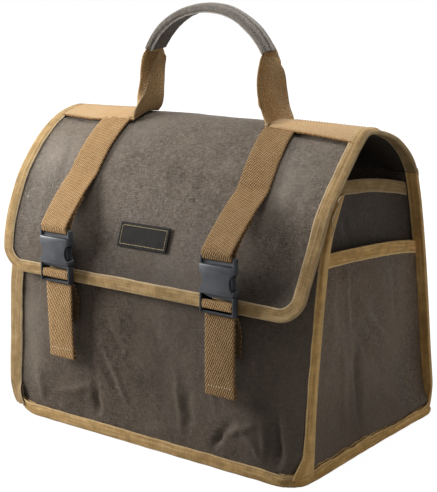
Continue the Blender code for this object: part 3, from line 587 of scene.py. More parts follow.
def makeTape(name, shade=1.0, warm=0.0):
    look = tapeLook
    material, tree, shader, place, cloth = startMaterial(name, look["roughness"], 0.08, 0.03)
    ribs = useGroup(tree, tapeRibs, {"Cloth": cloth})

    def tint(key):
        warmth = (1 + warm, 1.0, 1 - 2 * warm)
        return (*[c * shade * w for c, w in zip(look[key], warmth)], 1)

    ground = mixColour(tree, ribs["Tone"], tint("deep"), tint("main"))
    ground = layer(tree, ground, ribs["Height"], look["ribShare"], tint("pale"))
    # streaks run along the tape, and soil lies in patches
    streak = speckle(tree, stretched(tree, cloth, (420, 16, 1)), 1.0, 3, 0.55)
    ground = layer(tree, ground, remap(tree, streak, 0.52, 0.68), look["darkStreak"], tint("deep"))
    ground = layer(tree, ground, remap(tree, streak, 0.47, 0.34), look["paleStreak"], tint("pale"))
    soil = remap(tree, speckle(tree, place, 26.0, 4, 0.6), 0.52, 0.72)
    ground = layer(tree, ground, soil, look["soil"], tint("deep"))
    # the rim colour: pale lines along the edges and a painted highlight round the fold
    rim = addNode(tree, "ShaderNodeAttribute", attribute_name="rim").outputs["Fac"]
    ground = layer(tree, ground, rim, look["rimShare"], tint("rim"))
    tree.links.new(ground, shader.inputs["Base Color"])
    addBump(tree, shader, ribs["Height"], look["ribBump"], look["ribDepth"])
    return material


webLook = {
    "deep": (0.120, 0.060, 0.022, 1), "main": (0.385, 0.228, 0.096, 1), "pale": (0.64, 0.44, 0.235, 1),
    # the next line opens with the colour of painted light, laid on where the rim attribute is above zero
    "paintedLightTone": (0.366, 0.257, 0.146, 1), "roughness": 0.82, "weaveBump": 0.9, "weaveDepth": 0.00060,
    "bead": 0.55, "patch": 0.16, "fineLine": 0.42, "paintedLightRim": 0.78, "paintedShadeRim": -0.72,
}


def makeWebbing(name, shade=1.0, pitch=0.0025, contrast=1.0):
    look = webLook
    material, tree, shader, _, cloth = startMaterial(name, look["roughness"], 0.08, 0.03)
    weave = useGroup(tree, twillWeave, {"Cloth": cloth, "Pitch": pitch})

    def tint(key, far=contrast):
        return (*[(m + (c - m) * far) * shade for c, m in zip(look[key][:3], look["main"])], 1)

    ground = mixColour(tree, remap(tree, weave["Height"], 0.05, 0.42), tint("deep"), tint("main"))
    ground = layer(tree, ground, remap(tree, weave["Height"], 0.45, 0.95), look["bead"], tint("pale"))
    ground = layer(tree, ground, weave["Tone"], look["patch"], tint("pale"))
    # rim is above zero where light is painted on: top light on the ridge strips and highlights on edges;
    # below zero where shade is painted in, along edges, in pleat lines and on faces turned from the lamps
    rim = addNode(tree, "ShaderNodeAttribute", attribute_name="rim").outputs["Fac"]
    fine = remap(tree, speckle(tree, stretched(tree, cloth, (1100, 30, 1)), 1.0, 3), 0.46, 0.62)
    paintedLightTone = layer(tree, tint("paintedLightTone", 1.0), fine, look["fineLine"], tint("main", 1.0))
    ground = layer(tree, ground, rim, look["paintedLightRim"], paintedLightTone, limit=True)
    ground = layer(tree, ground, rim, look["paintedShadeRim"], tint("deep", 1.0), limit=True)
    tree.links.new(ground, shader.inputs["Base Color"])
    addBump(tree, shader, weave["Height"], look["weaveBump"], look["weaveDepth"] * contrast)
    return material


def makePlastic(name, colour, roughness, grainDepth=0.00006):
    material, tree, shader, place, _ = startMaterial(name, roughness, 0.32)
    pebble = speckle(tree, place, 1500.0, 2)
    cloud = speckle(tree, place, 60.0, 4, 0.6)
    pale = tuple(c * 1.35 + 0.006 for c in colour)
    ground = mixColour(tree, remap(tree, cloud, 0.35, 0.7), (*colour, 1), (*pale, 1))
    tree.links.new(ground, shader.inputs["Base Color"])
    rough = remap(tree, cloud, 0.3, 0.7, roughness - 0.08, roughness + 0.10)
    tree.links.new(rough, shader.inputs["Roughness"])
    addBump(tree, shader, pebble, 0.35, grainDepth)
    return material


def makeThread(name, colour, pitch=0.0006):
    material, tree, shader, place, _ = startMaterial(name, 0.7, 0.25, 0.1)
    fibre = speckle(tree, place, 1.0 / pitch, 2)
    dark = tuple(c * 0.6 for c in colour)
    ground = mixColour(tree, remap(tree, fibre, 0.35, 0.65), (*dark, 1), (*colour, 1))
    tree.links.new(ground, shader.inputs["Base Color"])
    addBump(tree, shader, fibre, 0.5, 0.0001)
    return material


waxedCanvas = makeCanvas("waxedCanvas", 0.97)
# a darker copy of the canvas: painted shade on the front, the back and the hinge fold
shadedFrontCanvas = makeCanvas("shadedFrontCanvas", 0.59, 1.0, 0.05)
pocketCanvas = makeCanvas("pocketCanvas", 0.88, 1.0, 0.10)
# a much darker copy of the canvas: painted shade on the side panels under the lid
shadedSideCanvas = makeCanvas("shadedSideCanvas", 0.32, 1.0, 0.05)
# a darker copy of the canvas: painted shade on the floor inside the bag
shadedInnerCanvas = makeCanvas("shadedInnerCanvas", 0.42)
gripCanvas = makeCanvas("gripCanvas", 1.22, 1.4, -0.07)
bindingTape = makeTape("bindingTape")
# a brighter, warmer copy of the tape: painted light with a warmer tone, for the side bottom tapes, the right
# seam tapes and the pocket mouths
litWarmTape = makeTape("litWarmTape", 1.42, 0.10)
# a brighter copy of the tape: painted light on the front and back bottom tapes
litBottomTape = makeTape("litBottomTape", 1.25, 0.03)
shadedTape = makeTape("shadedTape", 0.76, 0.0)
strapWebbing = makeWebbing("strapWebbing")
shadedWebbing = makeWebbing("shadedWebbing", 0.74, 0.0025, 1.0)
# a brighter copy of the webbing: painted light on the handle's strips and legs
litHandleWebbing = makeWebbing("litHandleWebbing", 1.22, 0.0019, 0.65)
# a much darker copy of the webbing: the tail's painted shadow on the anchor
shadowedAnchorWebbing = makeWebbing("shadowedAnchorWebbing", 0.30)
bucklePlastic = makePlastic("bucklePlastic", (0.042, 0.045, 0.051), 0.38)
ladderPlastic = makePlastic("ladderPlastic", (0.020, 0.022, 0.026), 0.42)
stiffenerBoard = makePlastic("stiffenerBoard", (0.030, 0.028, 0.026), 0.62)
tapeThread = makeThread("tapeThread", (0.30, 0.20, 0.10))
looseThread = makeThread("looseThread", (0.48, 0.38, 0.24))
creamThread = makeThread("creamThread", (0.85, 0.74, 0.52))
darkThread = makeThread("darkThread", (0.030, 0.026, 0.024))
goldThread = makeThread("goldThread", (0.55, 0.44, 0.21))
print("materials made")


# Stitches

def makeStitch():
    # one stitch, a short round bar sunk at both ends, a metre long until it is placed
    deselectAll()
    bpy.ops.mesh.primitive_uv_sphere_add(segments=6, ring_count=5, radius=0.5,
                                         rotation=(0, math.radians(90), 0))
    stitch = bpy.context.active_object
    bpy.ops.object.transform_apply(location=True, rotation=True, scale=True)
    for point in stitch.data.vertices:
        x = point.co.x * 2
        point.co = Vector((x * 0.5, point.co.y, point.co.z - 0.5 * x * x))
    mesh = stitch.data.copy()
    bpy.data.objects.remove(stitch)
    return mesh


stitchMesh = makeStitch()


def stitchRow(name, places, material, body, slotName, thick=0.0006):
    # places are (start, end, outward) for each stitch
    form = bmesh.new()
    for start, end, outward in places:
        along = end - start
        length = along.length
        along = along / length
        sideways = outward.cross(along).normalized()
        up = along.cross(sideways)
        turned = Matrix((along, sideways, up)).transposed().to_4x4()
        size = Matrix.Diagonal((length, thick, thick, 1.0))
        one = stitchMesh.copy()
        one.transform(Matrix.Translation((start + end) / 2) @ turned @ size)
        form.from_mesh(one)
        bpy.data.meshes.remove(one)
    mesh = bpy.data.meshes.new(name)
    form.to_mesh(mesh)
    form.free()
    row = bpy.data.objects.new(name, mesh)
    bpy.context.scene.collection.objects.link(row)
    shadeSmooth(row, 80)
    return finishPiece(row, material, body, slotName)


def stitchPlaces(surface, inset, lift, low, high, pitch=0.0034, share=0.72):
    places = []
    count = int((high - low) / pitch)
    for k in range(count):
        run = low + (high - low) * (k + 0.14) / count
        start, end = surface(run, inset, lift), surface(run + pitch * share, inset, lift)
        if (end - start).length > 0.0008:
            places.append((start, end, (surface(run, inset, lift + 0.001) - start).normalized()))
    return places


# Binding tape, folded over an edge: a strip round the fold, with both faces and its raw inner edges

tapeCut = {"width": 0.0145, "thick": 0.0044, "proud": 0.0010, "cloth": 0.0009, "stitchMargin": 0.0021,
           "stitchSink": 0.00030, "rumple": 0.00036, "rumpleSize": 0.014}


def tapeProfile(width):
    # (inset from the fold, lift from the canvas face, share of the rim colour: pale lines along the edges and
    # a painted highlight round the fold), outer face first
    cut = tapeCut
    radius = cut["thick"] / 2
    rows = []
    for k in range(10):
        inset = width if k == 0 else width - 0.0009 + (radius - width + 0.0009) * (k - 1) / 8
        crown = 0.0003 * math.sin(math.pi * k / 9)
        drop = 0.00045 if k == 0 else 0.0
        rows.append((inset, cut["proud"] + crown - drop, 1.0 if k == 0 else 0.75 if k == 1 else 0.0))
    for k in range(1, 7):
        angle = math.pi * k / 7
        lift = cut["proud"] - radius + radius * math.cos(angle)
        rows.append((radius - radius * math.sin(angle), lift, 0.35))
    for k in range(6):
        inset = radius + (width - radius) * k / 5
        rows.append((inset, cut["proud"] - cut["thick"], 1.0 if k == 5 else 0.0))
    return rows


def foldedTape(name, low, high, surface, body, nodes, seed=0.0, width=tapeCut["width"], step=0.0028,
               material=None, pale=1.0):
    cut = tapeCut
    profile = tapeProfile(width)
    stitchInset = width - cut["stitchMargin"]
    cross = [0.0]
    for (inset0, lift0, _), (inset1, lift1, _) in zip(profile, profile[1:]):
        cross.append(cross[-1] + math.hypot(inset1 - inset0, lift1 - lift0))
    across = len(profile) - 1
    along = max(int((high - low) / step), 4)

    def place(u, v):
        k = round(u * across)
        inset, lift = profile[k][:2]
        run = low + (high - low) * v
        outer = k <= 9
        bump = rumple(run, seed, inset * 1.4, cut["rumpleSize"]) * cut["rumple"]
        bump += rumple(run, seed + 3, inset, 0.045) * cut["rumple"] * 1.2
        if outer:
            near = math.exp(-((inset - stitchInset) / 0.0010) ** 2)
            bump -= cut["stitchSink"] * near
        wave = rumple(run, seed + 7, 0, 0.022) * 0.0006 * smoothStep(0.006, width, inset)
        if not outer:
            bump *= 0.3
        return surface(run, inset + wave, lift + bump)

    middle = (low + high) / 2
    outward = surface(middle, 0.008, 0.002) - surface(middle, 0.008, 0.0)
    tape, shares = gridPiece(name, across, along, place,
                             lambda u, v: (cross[round(u * across)], v * (high - low)))
    outerFaces = [f for f in tape.data.polygons if (shares[f.vertices[0]][0] * across) < 8.5]
    if sum(f.normal.dot(outward) * f.area for f in outerFaces) < 0:
        tape.data.flip_normals()
    # the rim colour: pale lines along the edges and a painted highlight round the fold, scaled by pale
    rims = tape.data.attributes.new("rim", "FLOAT", "POINT")
    for value, (u, v) in zip(rims.data, shares):
        value.value = profile[round(u * across)][2] * pale
    addThickness(tape, cut["cloth"])
    shadeSmooth(tape, 60)
    finishPiece(tape, material or bindingTape, body, "tape", *nodes)
    if not body:
        return tape
    places = stitchPlaces(surface, stitchInset, cut["proud"] - 0.00012, low + 0.002, high - 0.002)
    stitchRow(name + "_stitches", places, tapeThread, body, "tape")
    return tape


# Canvas panels of the body: each sags and creases a little inwards, under the tapes at its edges

frontFolds = {
    "soft": 0.0024, "softSize": 0.050, "fine": 0.0010, "fineSize": 0.018,
    # (x, z) to (x, z), width, depth: below zero is a hollow
    "creases": [
        (0.165, 0.066, 0.173, 0.012, 0.0042, -0.0040), (0.152, 0.060, 0.158, 0.018, 0.0040, 0.0018),
        (0.094, 0.020, 0.110, 0.044, 0.0045, -0.0036), (0.112, 0.040, 0.136, 0.052, 0.0038, 0.0022),
        (0.134, 0.044, 0.160, 0.018, 0.0038, 0.0026), (-0.158, 0.052, -0.150, 0.018, 0.0050, 0.0022),
        (-0.070, 0.052, -0.066, 0.016, 0.0046, -0.0034), (-0.124, 0.036, -0.082, 0.050, 0.0050, 0.0020),
        (-0.058, 0.100, -0.020, 0.040, 0.0036, 0.0016), (-0.066, 0.094, -0.034, 0.046, 0.0050, -0.0018),
        (0.044, 0.086, 0.052, 0.034, 0.0040, 0.0014), (0.058, 0.080, 0.060, 0.030, 0.0060, -0.0018),
        (-0.052, 0.120, -0.026, 0.098, 0.0050, -0.0016), (0.082, 0.120, 0.094, 0.066, 0.0034, 0.0012),
        (-0.020, 0.020, 0.050, 0.024, 0.0060, 0.0014), (0.000, 0.130, 0.030, 0.118, 0.0060, -0.0012),
    ],
    # painted light low on the left; painted shade under the lid's edge, low on the right, in the middle and
    # down a fold right of the right tail: (strength, x, z, reach in x, reach in z)
    "wearAndPaintedLight": [(0.42, -0.172, 0.085, 0.026, 0.060), (0.10, -0.035, 0.060, 0.05, 0.04),
             (-0.45, 0.160, 0.040, 0.022, 0.045), (-0.30, 0.130, 0.16, 0.06, 0.03),
             (-0.22, -0.09, 0.150, 0.05, 0.022), (-0.40, 0.146, 0.060, 0.009, 0.036),
             (-0.22, 0.02, 0.100, 0.05, 0.05)],
}


def panelCalm(x, z, low, high, halfAcross):
    # 0 at the panel's edges, where the tape holds it, and 1 inside
    return (smoothStep(0.0, 0.022, z - low) * smoothStep(0.0, 0.022, high - z)
            * smoothStep(0.0, 0.020, halfAcross - abs(x)))


def makeFrontPanel():
    folds = frontFolds
    low, high, half = 0.0100, 0.2790, seamX + 0.0060

    def place(u, v):
        z = low + (high - low) * v
        x = (2 * u - 1) * (half + (seamOut(-1, z) if u < 0.5 else 0.0))
        calm = panelCalm(x, z, low, high, half)
        inward = sagDepth(folds, (x, 0.3, z), (x, 1.3, z))
        lift = 1.35 * creaseLift(x, z, folds["creases"]) if z < 0.14 else 0.0
        return Vector((x, frontY(x, z) + calm * (inward - lift) + 0.0001, z))

    panel = clothSheet("front_canvas", 150, 110, place, (2 * half, high - low), canvasThick, (0, -1, 0))
    setRim(panel, lambda p: paintedLightAndShadeAt(p.x, p.z, folds["wearAndPaintedLight"]))
    finishPiece(panel, shadedFrontCanvas, "body", "canvas", "front_panel")


backFolds = {
    "soft": 0.0020, "softSize": 0.060, "fine": 0.0007, "fineSize": 0.020,
    "creases": [(-0.120, 0.030, -0.080, 0.090, 0.006, -0.0026), (0.060, 0.020, 0.110, 0.060, 0.005, -0.0024),
                (-0.020, 0.150, 0.060, 0.210, 0.007, -0.0020), (0.130, 0.120, 0.150, 0.190, 0.005, 0.0016),
                (-0.150, 0.140, -0.120, 0.200, 0.006, -0.0018), (0.000, 0.030, 0.010, 0.080, 0.005, 0.0016)],
}


def makeBackPanel():
    folds = backFolds
    low, high, half = 0.0100, bag["backTop"], seamX + 0.0060

    def place(u, v):
        x, z = (2 * u - 1) * half, low + (high - low) * v
        calm = panelCalm(x, z, low, high, half)
        inward = sagDepth(folds, (x, 4.3, z), (x, 5.3, z))
        return Vector((x, backY(x, z) - calm * (inward - creaseLift(x, z, folds["creases"])), z))

    panel = clothSheet("back_canvas", 120, 90, place, (2 * half, high - low), canvasThick, (0, 1, 0))
    finishPiece(panel, shadedFrontCanvas, "body", "canvas", "back_panel")


sideFolds = {
    "soft": 0.0022, "softSize": 0.050, "fine": 0.0009, "fineSize": 0.018,
    # (y, z) to (y, z), width, depth
    "pocket": [
        (-0.050, 0.198, -0.038, 0.140, 0.0032, 0.0024), (-0.062, 0.196, -0.056, 0.150, 0.0050, -0.0020),
        (-0.026, 0.172, 0.054, 0.098, 0.0040, 0.0022), (-0.030, 0.140, 0.030, 0.080, 0.0060, -0.0020),
        (-0.021, 0.112, -0.010, 0.036, 0.0060, -0.0040), (-0.046, 0.120, -0.040, 0.030, 0.0060, 0.0018),
        (0.020, 0.060, 0.070, 0.030, 0.0060, 0.0020), (0.050, 0.180, 0.072, 0.120, 0.0060, -0.0018),
    ],
    "panel": [(-0.050, 0.270, -0.030, 0.235, 0.0050, -0.0018), (0.020, 0.265, 0.040, 0.240, 0.0050, 0.0012)],
    # painted light in a streak on a fold and in a patch; painted shade in a fold, a painted shadow under the
    # mouth tape and painted shade low down: (strength, y, z, reach in y, reach in z)
    "pocketPaintedLight": [(0.16, -0.055, 0.160, 0.020, 0.05), (0.10, 0.075, 0.11, 0.04, 0.07),
                   (-0.40, -0.018, 0.070, 0.010, 0.045), (-0.25, 0.020, 0.205, 0.09, 0.010),
                   (-0.52, -0.02, 0.030, 0.12, 0.050)],
    "panelSag": 0.0008, "panelSagSize": 0.05,
}


def makeSide(side, name):
    folds = sideFolds
    pocketLow = 0.0100

    def pocketEdges(z):
        return (frontY(side * (seamX + 0.005), z) + 0.0012, backY(seamX, z) - 0.0014)

    def panelEdges(z):
        return (frontY(side * sideX, z) + 0.0030, min(backY(sideX, z) - 0.0030, 0.1392))

    def between(edges, top, low, u, v):
        z = low
        for _ in range(6):
            front, back = edges(z)
            y = front + (back - front) * u
            z = low + (top(y) - low) * v
        return y, z

    def pocketPlace(u, v):
        y, z = between(pocketEdges, lambda y: pocketTop(y) - 0.0030, pocketLow, u, v)
        held = smoothStep(0.0, 0.12, u) * smoothStep(0.0, 0.12, 1 - u) * smoothStep(0.0, 0.10, v)
        held *= smoothStep(0.0, 0.09, 1 - v)
        inward = sagDepth(folds, (side, y, z), (side * 2, y, z))
        lift = creaseLift(y, z, folds["pocket"]) if side > 0 else creaseLift(-y, z, folds["pocket"]) * 0.8
        return Vector((side * (pocketX(y, z) - held * (inward - lift)), y, z))

    pocket = clothSheet(name + "_pocket_canvas", 80, 70, pocketPlace, (0.25, 0.21), canvasThick, (side, 0, 0))
    setRim(pocket, lambda p: paintedLightAndShadeAt(p.y, p.z, folds["pocketPaintedLight"]))
    finishPiece(pocket, pocketCanvas, "body", "canvas", name + "_pocket")

    def panelPlace(u, v):
        y, z = between(panelEdges, lambda y: sideTop(y) - 0.0035, canvasThick + gap, u, v)
        held = smoothStep(0.0, 0.1, u) * smoothStep(0.0, 0.1, 1 - u)
        inward = folds["panelSag"] * (0.5 + 0.5 * rumple(side, y, z, folds["panelSagSize"])) * held
        lift = creaseLift(y, z, folds["panel"])
        return Vector((side * (sideX - inward + min(lift, 0.0)), y, z))

    panel = clothSheet(name + "_side_canvas", 60, 60, panelPlace, (0.26, 0.28), canvasThick, (side, 0, 0))
    finishPiece(panel, shadedSideCanvas, "body", "canvas", name + "_side_panel")


def planPoint(share, kind, grow=0.0):
    # the foot's outline from the middle of one run (0) to the middle of a corner (1), grown outwards
    straight = (halfWidth if kind == "front" else halfDepth) - bag["cornerRadius"]
    turn = bag["cornerRadius"] * math.radians(45)
    reach = share * (straight + turn)
    angle = max(reach - straight, 0.0) / bag["cornerRadius"]
    on = min(reach, straight)
    radius = bag["cornerRadius"] + grow
    if kind == "front":
        return on + radius * math.sin(angle), -(halfDepth - bag["cornerRadius"] + radius * math.cos(angle))
    return halfWidth - bag["cornerRadius"] + radius * math.cos(angle), on + radius * math.sin(angle)


def makeFloor():
    inset = 0.0035

    def place(u, v):
        # the square grid is drawn out to the rounded outline of the foot
        a, b = 2 * u - 1, 2 * v - 1
        reach = max(abs(a), abs(b))
        if reach < 1e-6:
            return Vector((0, 0, 0))
        if abs(a) >= abs(b):
            x, y = planPoint(abs(b / a), "side", -inset)
        else:
            x, y = planPoint(abs(a / b), "front", -inset)
        x, y = math.copysign(x, a), math.copysign(y, b)
        return Vector((x * reach, y * reach, canvasThick + footRise(x, y) * reach ** 8))

    floor = clothSheet("floor_canvas", 48, 40, place, (0.4, 0.29), canvasThick, (0, 0, 1))
    finishPiece(floor, shadedInnerCanvas, "body", "canvas", "floor_panel")


makeFrontPanel()
makeBackPanel()
makeSide(-1, "left")
makeSide(1, "right")
makeFloor()
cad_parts["floor_board"].data.materials.clear()
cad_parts["floor_board"].data.materials.append(stiffenerBoard)
print("body canvas made")


# Tapes of the body

footShape = {
    "crumple": 0.0019, "crumpleSize": 0.0085,
    # how far the right corners are moved: (outwards, backwards)
    "frontCorner": (-0.0026, 0.0016), "backCorner": (0.0024, 0.0020),
    # the tape narrows at the front corners, and on the sides towards the back, where its foot spreads
    "narrowLeft": 0.42, "narrowRight": 0.20, "narrowBack": 0.33, "spread": 0.0022, "tuck": 0.0040,
    "wave": 0.0006, "waveSize": 0.020, "sideWave": 0.0018, "sideWaveSize": 0.012,
    "cornerWave": 0.0016, "cornerWaveSize": 0.009, "endShare": 0.998,
}


def makeFootTapes():
    foot = footShape
    runs = (("front_bottom", "front", 1), ("back_bottom", "front", -1),
            ("right_bottom", "side", 1), ("left_bottom", "side", -1))
    for index, (name, kind, sign) in enumerate(runs):
        half = (halfWidth if kind == "front" else halfDepth) - bag["cornerRadius"]
        half += bag["cornerRadius"] * math.radians(45)

        def surface(run, inset, lift):
            share = clamp(abs(run) / half, 0.0, foot["endShare"])
            x, y = planPoint(share, kind, lift - tapeCut["proud"])
            corner = smoothStep(0.84, 1.0, share)
            crumple = corner * foot["crumple"] * rumple(run, sign * 3, inset * 2.5, foot["crumpleSize"])
            if kind == "front":
                x, y = math.copysign(x, run), sign * (y - crumple)
            else:
                x, y = sign * (x + crumple), math.copysign(y, run)
            if x > 0:
                near = cornerShare(x, y)
                outwards, backwards = foot["frontCorner" if y < 0 else "backCorner"]
                x, y = x + outwards * near, y + backwards * near
            narrow = 0.0
            if y < 0:
                narrow = foot["narrowLeft" if x < 0 else "narrowRight"]
            if kind == "side":
                narrow += foot["narrowBack"] * smoothStep(-0.06, 0.12, y)
                spread = foot["spread"] - foot["tuck"] * smoothStep(0.005, 0.011, inset)
                x += sign * smoothStep(0.0, 0.12, y) * spread
            z = inset * (1 - narrow * (cornerShare(x, y) if y < 0 else 1.0)) + footRise(x, y)
            z += foot["wave"] * rumple(run, sign, 5, foot["waveSize"])
            if kind == "side":
                edge = smoothStep(0.008, tapeCut["width"], inset)
                z += foot["sideWave"] * rumple(run, 4.2, sign, foot["sideWaveSize"]) * edge
            edge = smoothStep(0.004, 0.012, inset)
            z += foot["cornerWave"] * corner * rumple(run, sign, 9, foot["cornerWaveSize"]) * edge
            return Vector((x, y, max(z, 0.0)))

        end = half * foot["endShare"]
        foldedTape(name + "_tape", -end, end, surface, "body", [name + "_binding"], 10.0 * index,
                   material=litWarmTape if kind == "side" else litBottomTape, pale=0.5)


seamShape = {
    "sideRun": 0.170, "mouthRun": 0.205, "frontLow": 0.0075,
    "fan": 0.35, "lapTuck": 0.0013, "backTurn": 0.0030,
    "left": {"frontWidth": 0.0205, "frontTape": shadedTape, "backLow": 0.0150, "backTape": bindingTape},
    "right": {"frontWidth": 0.0072, "frontTape": litWarmTape, "backLow": 0.0040, "backTape": litWarmTape},
}


def makeSeamTapes():
    shape = seamShape
    for side, name in ((-1, "left"), (1, "right")):
        own = shape[name]

        def frontSurface(run, inset, lift):
            # at the foot the left tape goes under the bottom tape, and the right one fans out over it
            if side < 0:
                lap = smoothStep(0.040, 0.022, run)
            else:
                lap = smoothStep(0.034, -0.004, run) * smoothStep(0.0, 0.006, inset)
                inset *= 1 + shape["fan"] * smoothStep(0.030, 0.008, run)
            x = side * (halfWidth + seamOut(side, run) - inset)
            seam = frontY(x, run)
            seam += (min(footY(x), seam) - seam) * lap - shape["lapTuck"] * lap
            return Vector((x, seam - lift, run + 0.20 * inset * lap))

        def backSurface(run, inset, lift):
            x = side * (halfWidth - shape["backTurn"] * clamp((0.036 - run) / 0.036) ** 2 - inset)
            lap = smoothStep(0.036, 0.022, run)
            seam = backY(x, run)
            seam += (max(-footY(x), seam) - seam) * lap - shape["lapTuck"] * lap
            return Vector((x, seam + lift, run + 0.20 * inset * lap))

        foldedTape(name + "_front_tape", shape["frontLow"], bag["panelTop"], frontSurface, "body",
                   [name + "_front_binding"], 50.0 + side, width=own["frontWidth"], material=own["frontTape"])
        foldedTape(name + "_back_tape", own["backLow"], bag["backTop"], backSurface, "body",
                   [name + "_back_binding"], 60.0 + side, material=own["backTape"])

        def topSurface(run, inset, lift):
            # run goes from 0 at the front seam to the length of the panel's top at the back seam
            front = frontY(side * sideX, sideTop(0) - inset) + 0.0060
            back = backY(sideX, 0.270 - inset) - 0.0036
            y = front + (back - front) * run / shape["sideRun"]
            return Vector((side * (sideX + lift), y, sideTop(y) - inset))

        foldedTape(name + "_side_top_tape", 0.0, shape["sideRun"], topSurface, "body",
                   [name + "_side_top_binding"], 70.0 + side, material=shadedTape)

        def mouthSurface(run, inset, lift):
            front = frontY(side * (seamX + 0.005), 0.222 - inset) + 0.0062
            back = backY(seamX, 0.204 - inset) - 0.0036
            y = front + (back - front) * run / shape["mouthRun"]
            z = pocketTop(y) - inset
            return Vector((side * (pocketX(y, z) + lift), y, z))

        foldedTape(name + "_pocket_tape", 0.0, shape["mouthRun"], mouthSurface, "body",
                   [name + "_pocket_binding"], 80.0 + side, material=litWarmTape)

    def topSurface(run, inset, lift):
        z = bag["panelTop"] - inset
        return Vector((run, frontY(run, z) - lift, z))

    end = seamX - 0.0013
    foldedTape("front_top_tape", -end, end, topSurface, "body", ["front_top_binding"], 90.0)


threadShape = {
    "radius": 0.00055, "x": 0.2024, "start": (0.1995, -0.0740, 0.2865),
    # down the seam, as (y, z)
    "route": ((-0.0848, 0.2833), (-0.0837, 0.2792), (-0.0881, 0.2740), (-0.0925, 0.2687), (-0.0960, 0.2634),
              (-0.0921, 0.2573), (-0.0938, 0.2541), (-0.0964, 0.2496)),
}


def makeLooseThread():
    shape = threadShape
    deselectAll()
    strand = bpy.data.curves.new("loose_thread", "CURVE")
    strand.dimensions = "3D"
    strand.bevel_depth = shape["radius"]
    strand.bevel_resolution = 1
    strand.use_fill_caps = True
    route = makeRoute([shape["start"]] + [(shape["x"], y, z) for y, z in shape["route"]], 5)
    line = strand.splines.new("POLY")
    line.points.add(len(route["path"]) - 1)
    for point, on in zip(line.points, route["path"]):
        point.co = (*on, 1)
    curl = bpy.data.objects.new("loose_thread", strand)
    bpy.context.scene.collection.objects.link(curl)
    makeActive(curl)
    bpy.ops.object.convert(target="MESH")
    finishPiece(curl, looseThread, "body", "tape")


makeFootTapes()
makeSeamTapes()
makeLooseThread()
print("body tapes made")


# Lid

lidShape = {
    "corner": 0.028, "edge": 0.0050, "soft": 0.0018, "softSize": 0.055, "fine": 0.0006, "fineSize": 0.016,
    # (x, length along the lid) to the same, width, depth
    "creases": [(0.070, 0.150, 0.040, 0.260, 0.009, -0.0010), (-0.150, 0.170, -0.140, 0.260, 0.008, -0.0012),
                (0.150, 0.170, 0.165, 0.280, 0.008, -0.0012), (-0.060, 0.170, -0.070, 0.250, 0.010, -0.0008)],
    # painted light high up on the left and right, and painted shade along the lower edge, darkest at its
    # right end; in x and z
    "wearAndPaintedLight": [(0.34, -0.165, 0.300, 0.030, 0.030), (0.34, 0.135, 0.290, 0.035, 0.035),
             (0.10, -0.165, 0.220, 0.020, 0.030), (-0.60, -0.02, 0.188, 0.16, 0.028),
             (-0.66, 0.155, 0.195, 0.040, 0.032)],
    "innerShade": 1.1,
    # where the strips of webbing end at the tape, and how far the tape climbs over them
    "stripY": {-1: -0.0385, 1: -0.0195}, "stripReach": 0.0200, "stripClimb": 0.0019,
}


def makeLid():
    shape = lidShape
    turnStart = lidLength - shape["corner"]
    radius = shape["corner"] - shape["edge"]
    turnRows, bodyRows = 12, 130
    rows = [turnStart * k / bodyRows for k in range(bodyRows)]
    rows += [turnStart + radius * math.sin(math.radians(86) * k / turnRows) for k in range(turnRows + 1)]
    last = len(rows) - 1

    def place(u, v):
        length = rows[round(v * last)]
        into = max(length - turnStart, 0.0)
        half = halfWidth - shape["edge"] - (radius - math.sqrt(max(radius ** 2 - into ** 2, 0.0)))
        x = (2 * u - 1) * half
        calm = smoothStep(0.0, 0.02, half - abs(x)) * smoothStep(0.0, 0.02, length)
        calm *= smoothStep(0.0, 0.02, lidLength - length)
        inward = sagDepth(shape, (x, 9.1, length), (x, 7.1, length))
        return lidPoint(x, length, calm * (creaseLift(x, length, shape["creases"]) - inward))

    lid = clothSheet("lid_canvas", 130, last, place, (0.39, lidLength), canvasThick, (0, -0.5, 1))
    setRim(lid, lambda p: paintedLightAndShadeAt(p.x, p.z, shape["wearAndPaintedLight"]), shape["innerShade"])
    finishPiece(lid, waxedCanvas, "lid", "canvas", "lid")


def makeLidTape():
    shape = lidShape
    corner = shape["corner"]
    straightDown, straightAcross = lidLength - corner, halfWidth - corner
    halfTurn = corner * math.radians(90)
    total = 2 * (straightDown + halfTurn + straightAcross)

    def edgePoint(run, inset):
        side = -1 if run < total / 2 else 1
        run = min(run, total - run)
        radius = corner - inset
        if run < straightDown:
            return side * (halfWidth - inset), max(run, 0.0)
        if run < straightDown + halfTurn:
            angle = (run - straightDown) / corner
            return (side * (halfWidth - corner + radius * math.cos(angle)),
                    lidLength - corner + radius * math.sin(angle))
        return side * (straightAcross - (run - straightDown - halfTurn)), lidLength - inset

    overStrip = {side: [lidLengthWhere(side * 0.19, 1, y + reach, 0.0)
                        for reach in (shape["stripReach"], -shape["stripReach"])]
                 for side, y in shape["stripY"].items()}

    def surface(run, inset, lift):
        # the tape climbs over the ends of the strips of webbing
        x, length = edgePoint(run, inset)
        first, last = overStrip[-1 if x < 0 else 1]
        climb = smoothStep(first - 0.003, first + 0.003, length)
        climb *= smoothStep(last + 0.003, last - 0.003, length)
        rise = shape["stripClimb"] * climb * smoothStep(0.0, 0.004, inset) * (lift > 0)
        return lidPoint(x, length, lift + rise)

    foldedTape("lid_tape", 0.0, total, surface, "lid", ["lid_binding"], 120.0, step=0.0026)


makeLid()
makeLidTape()


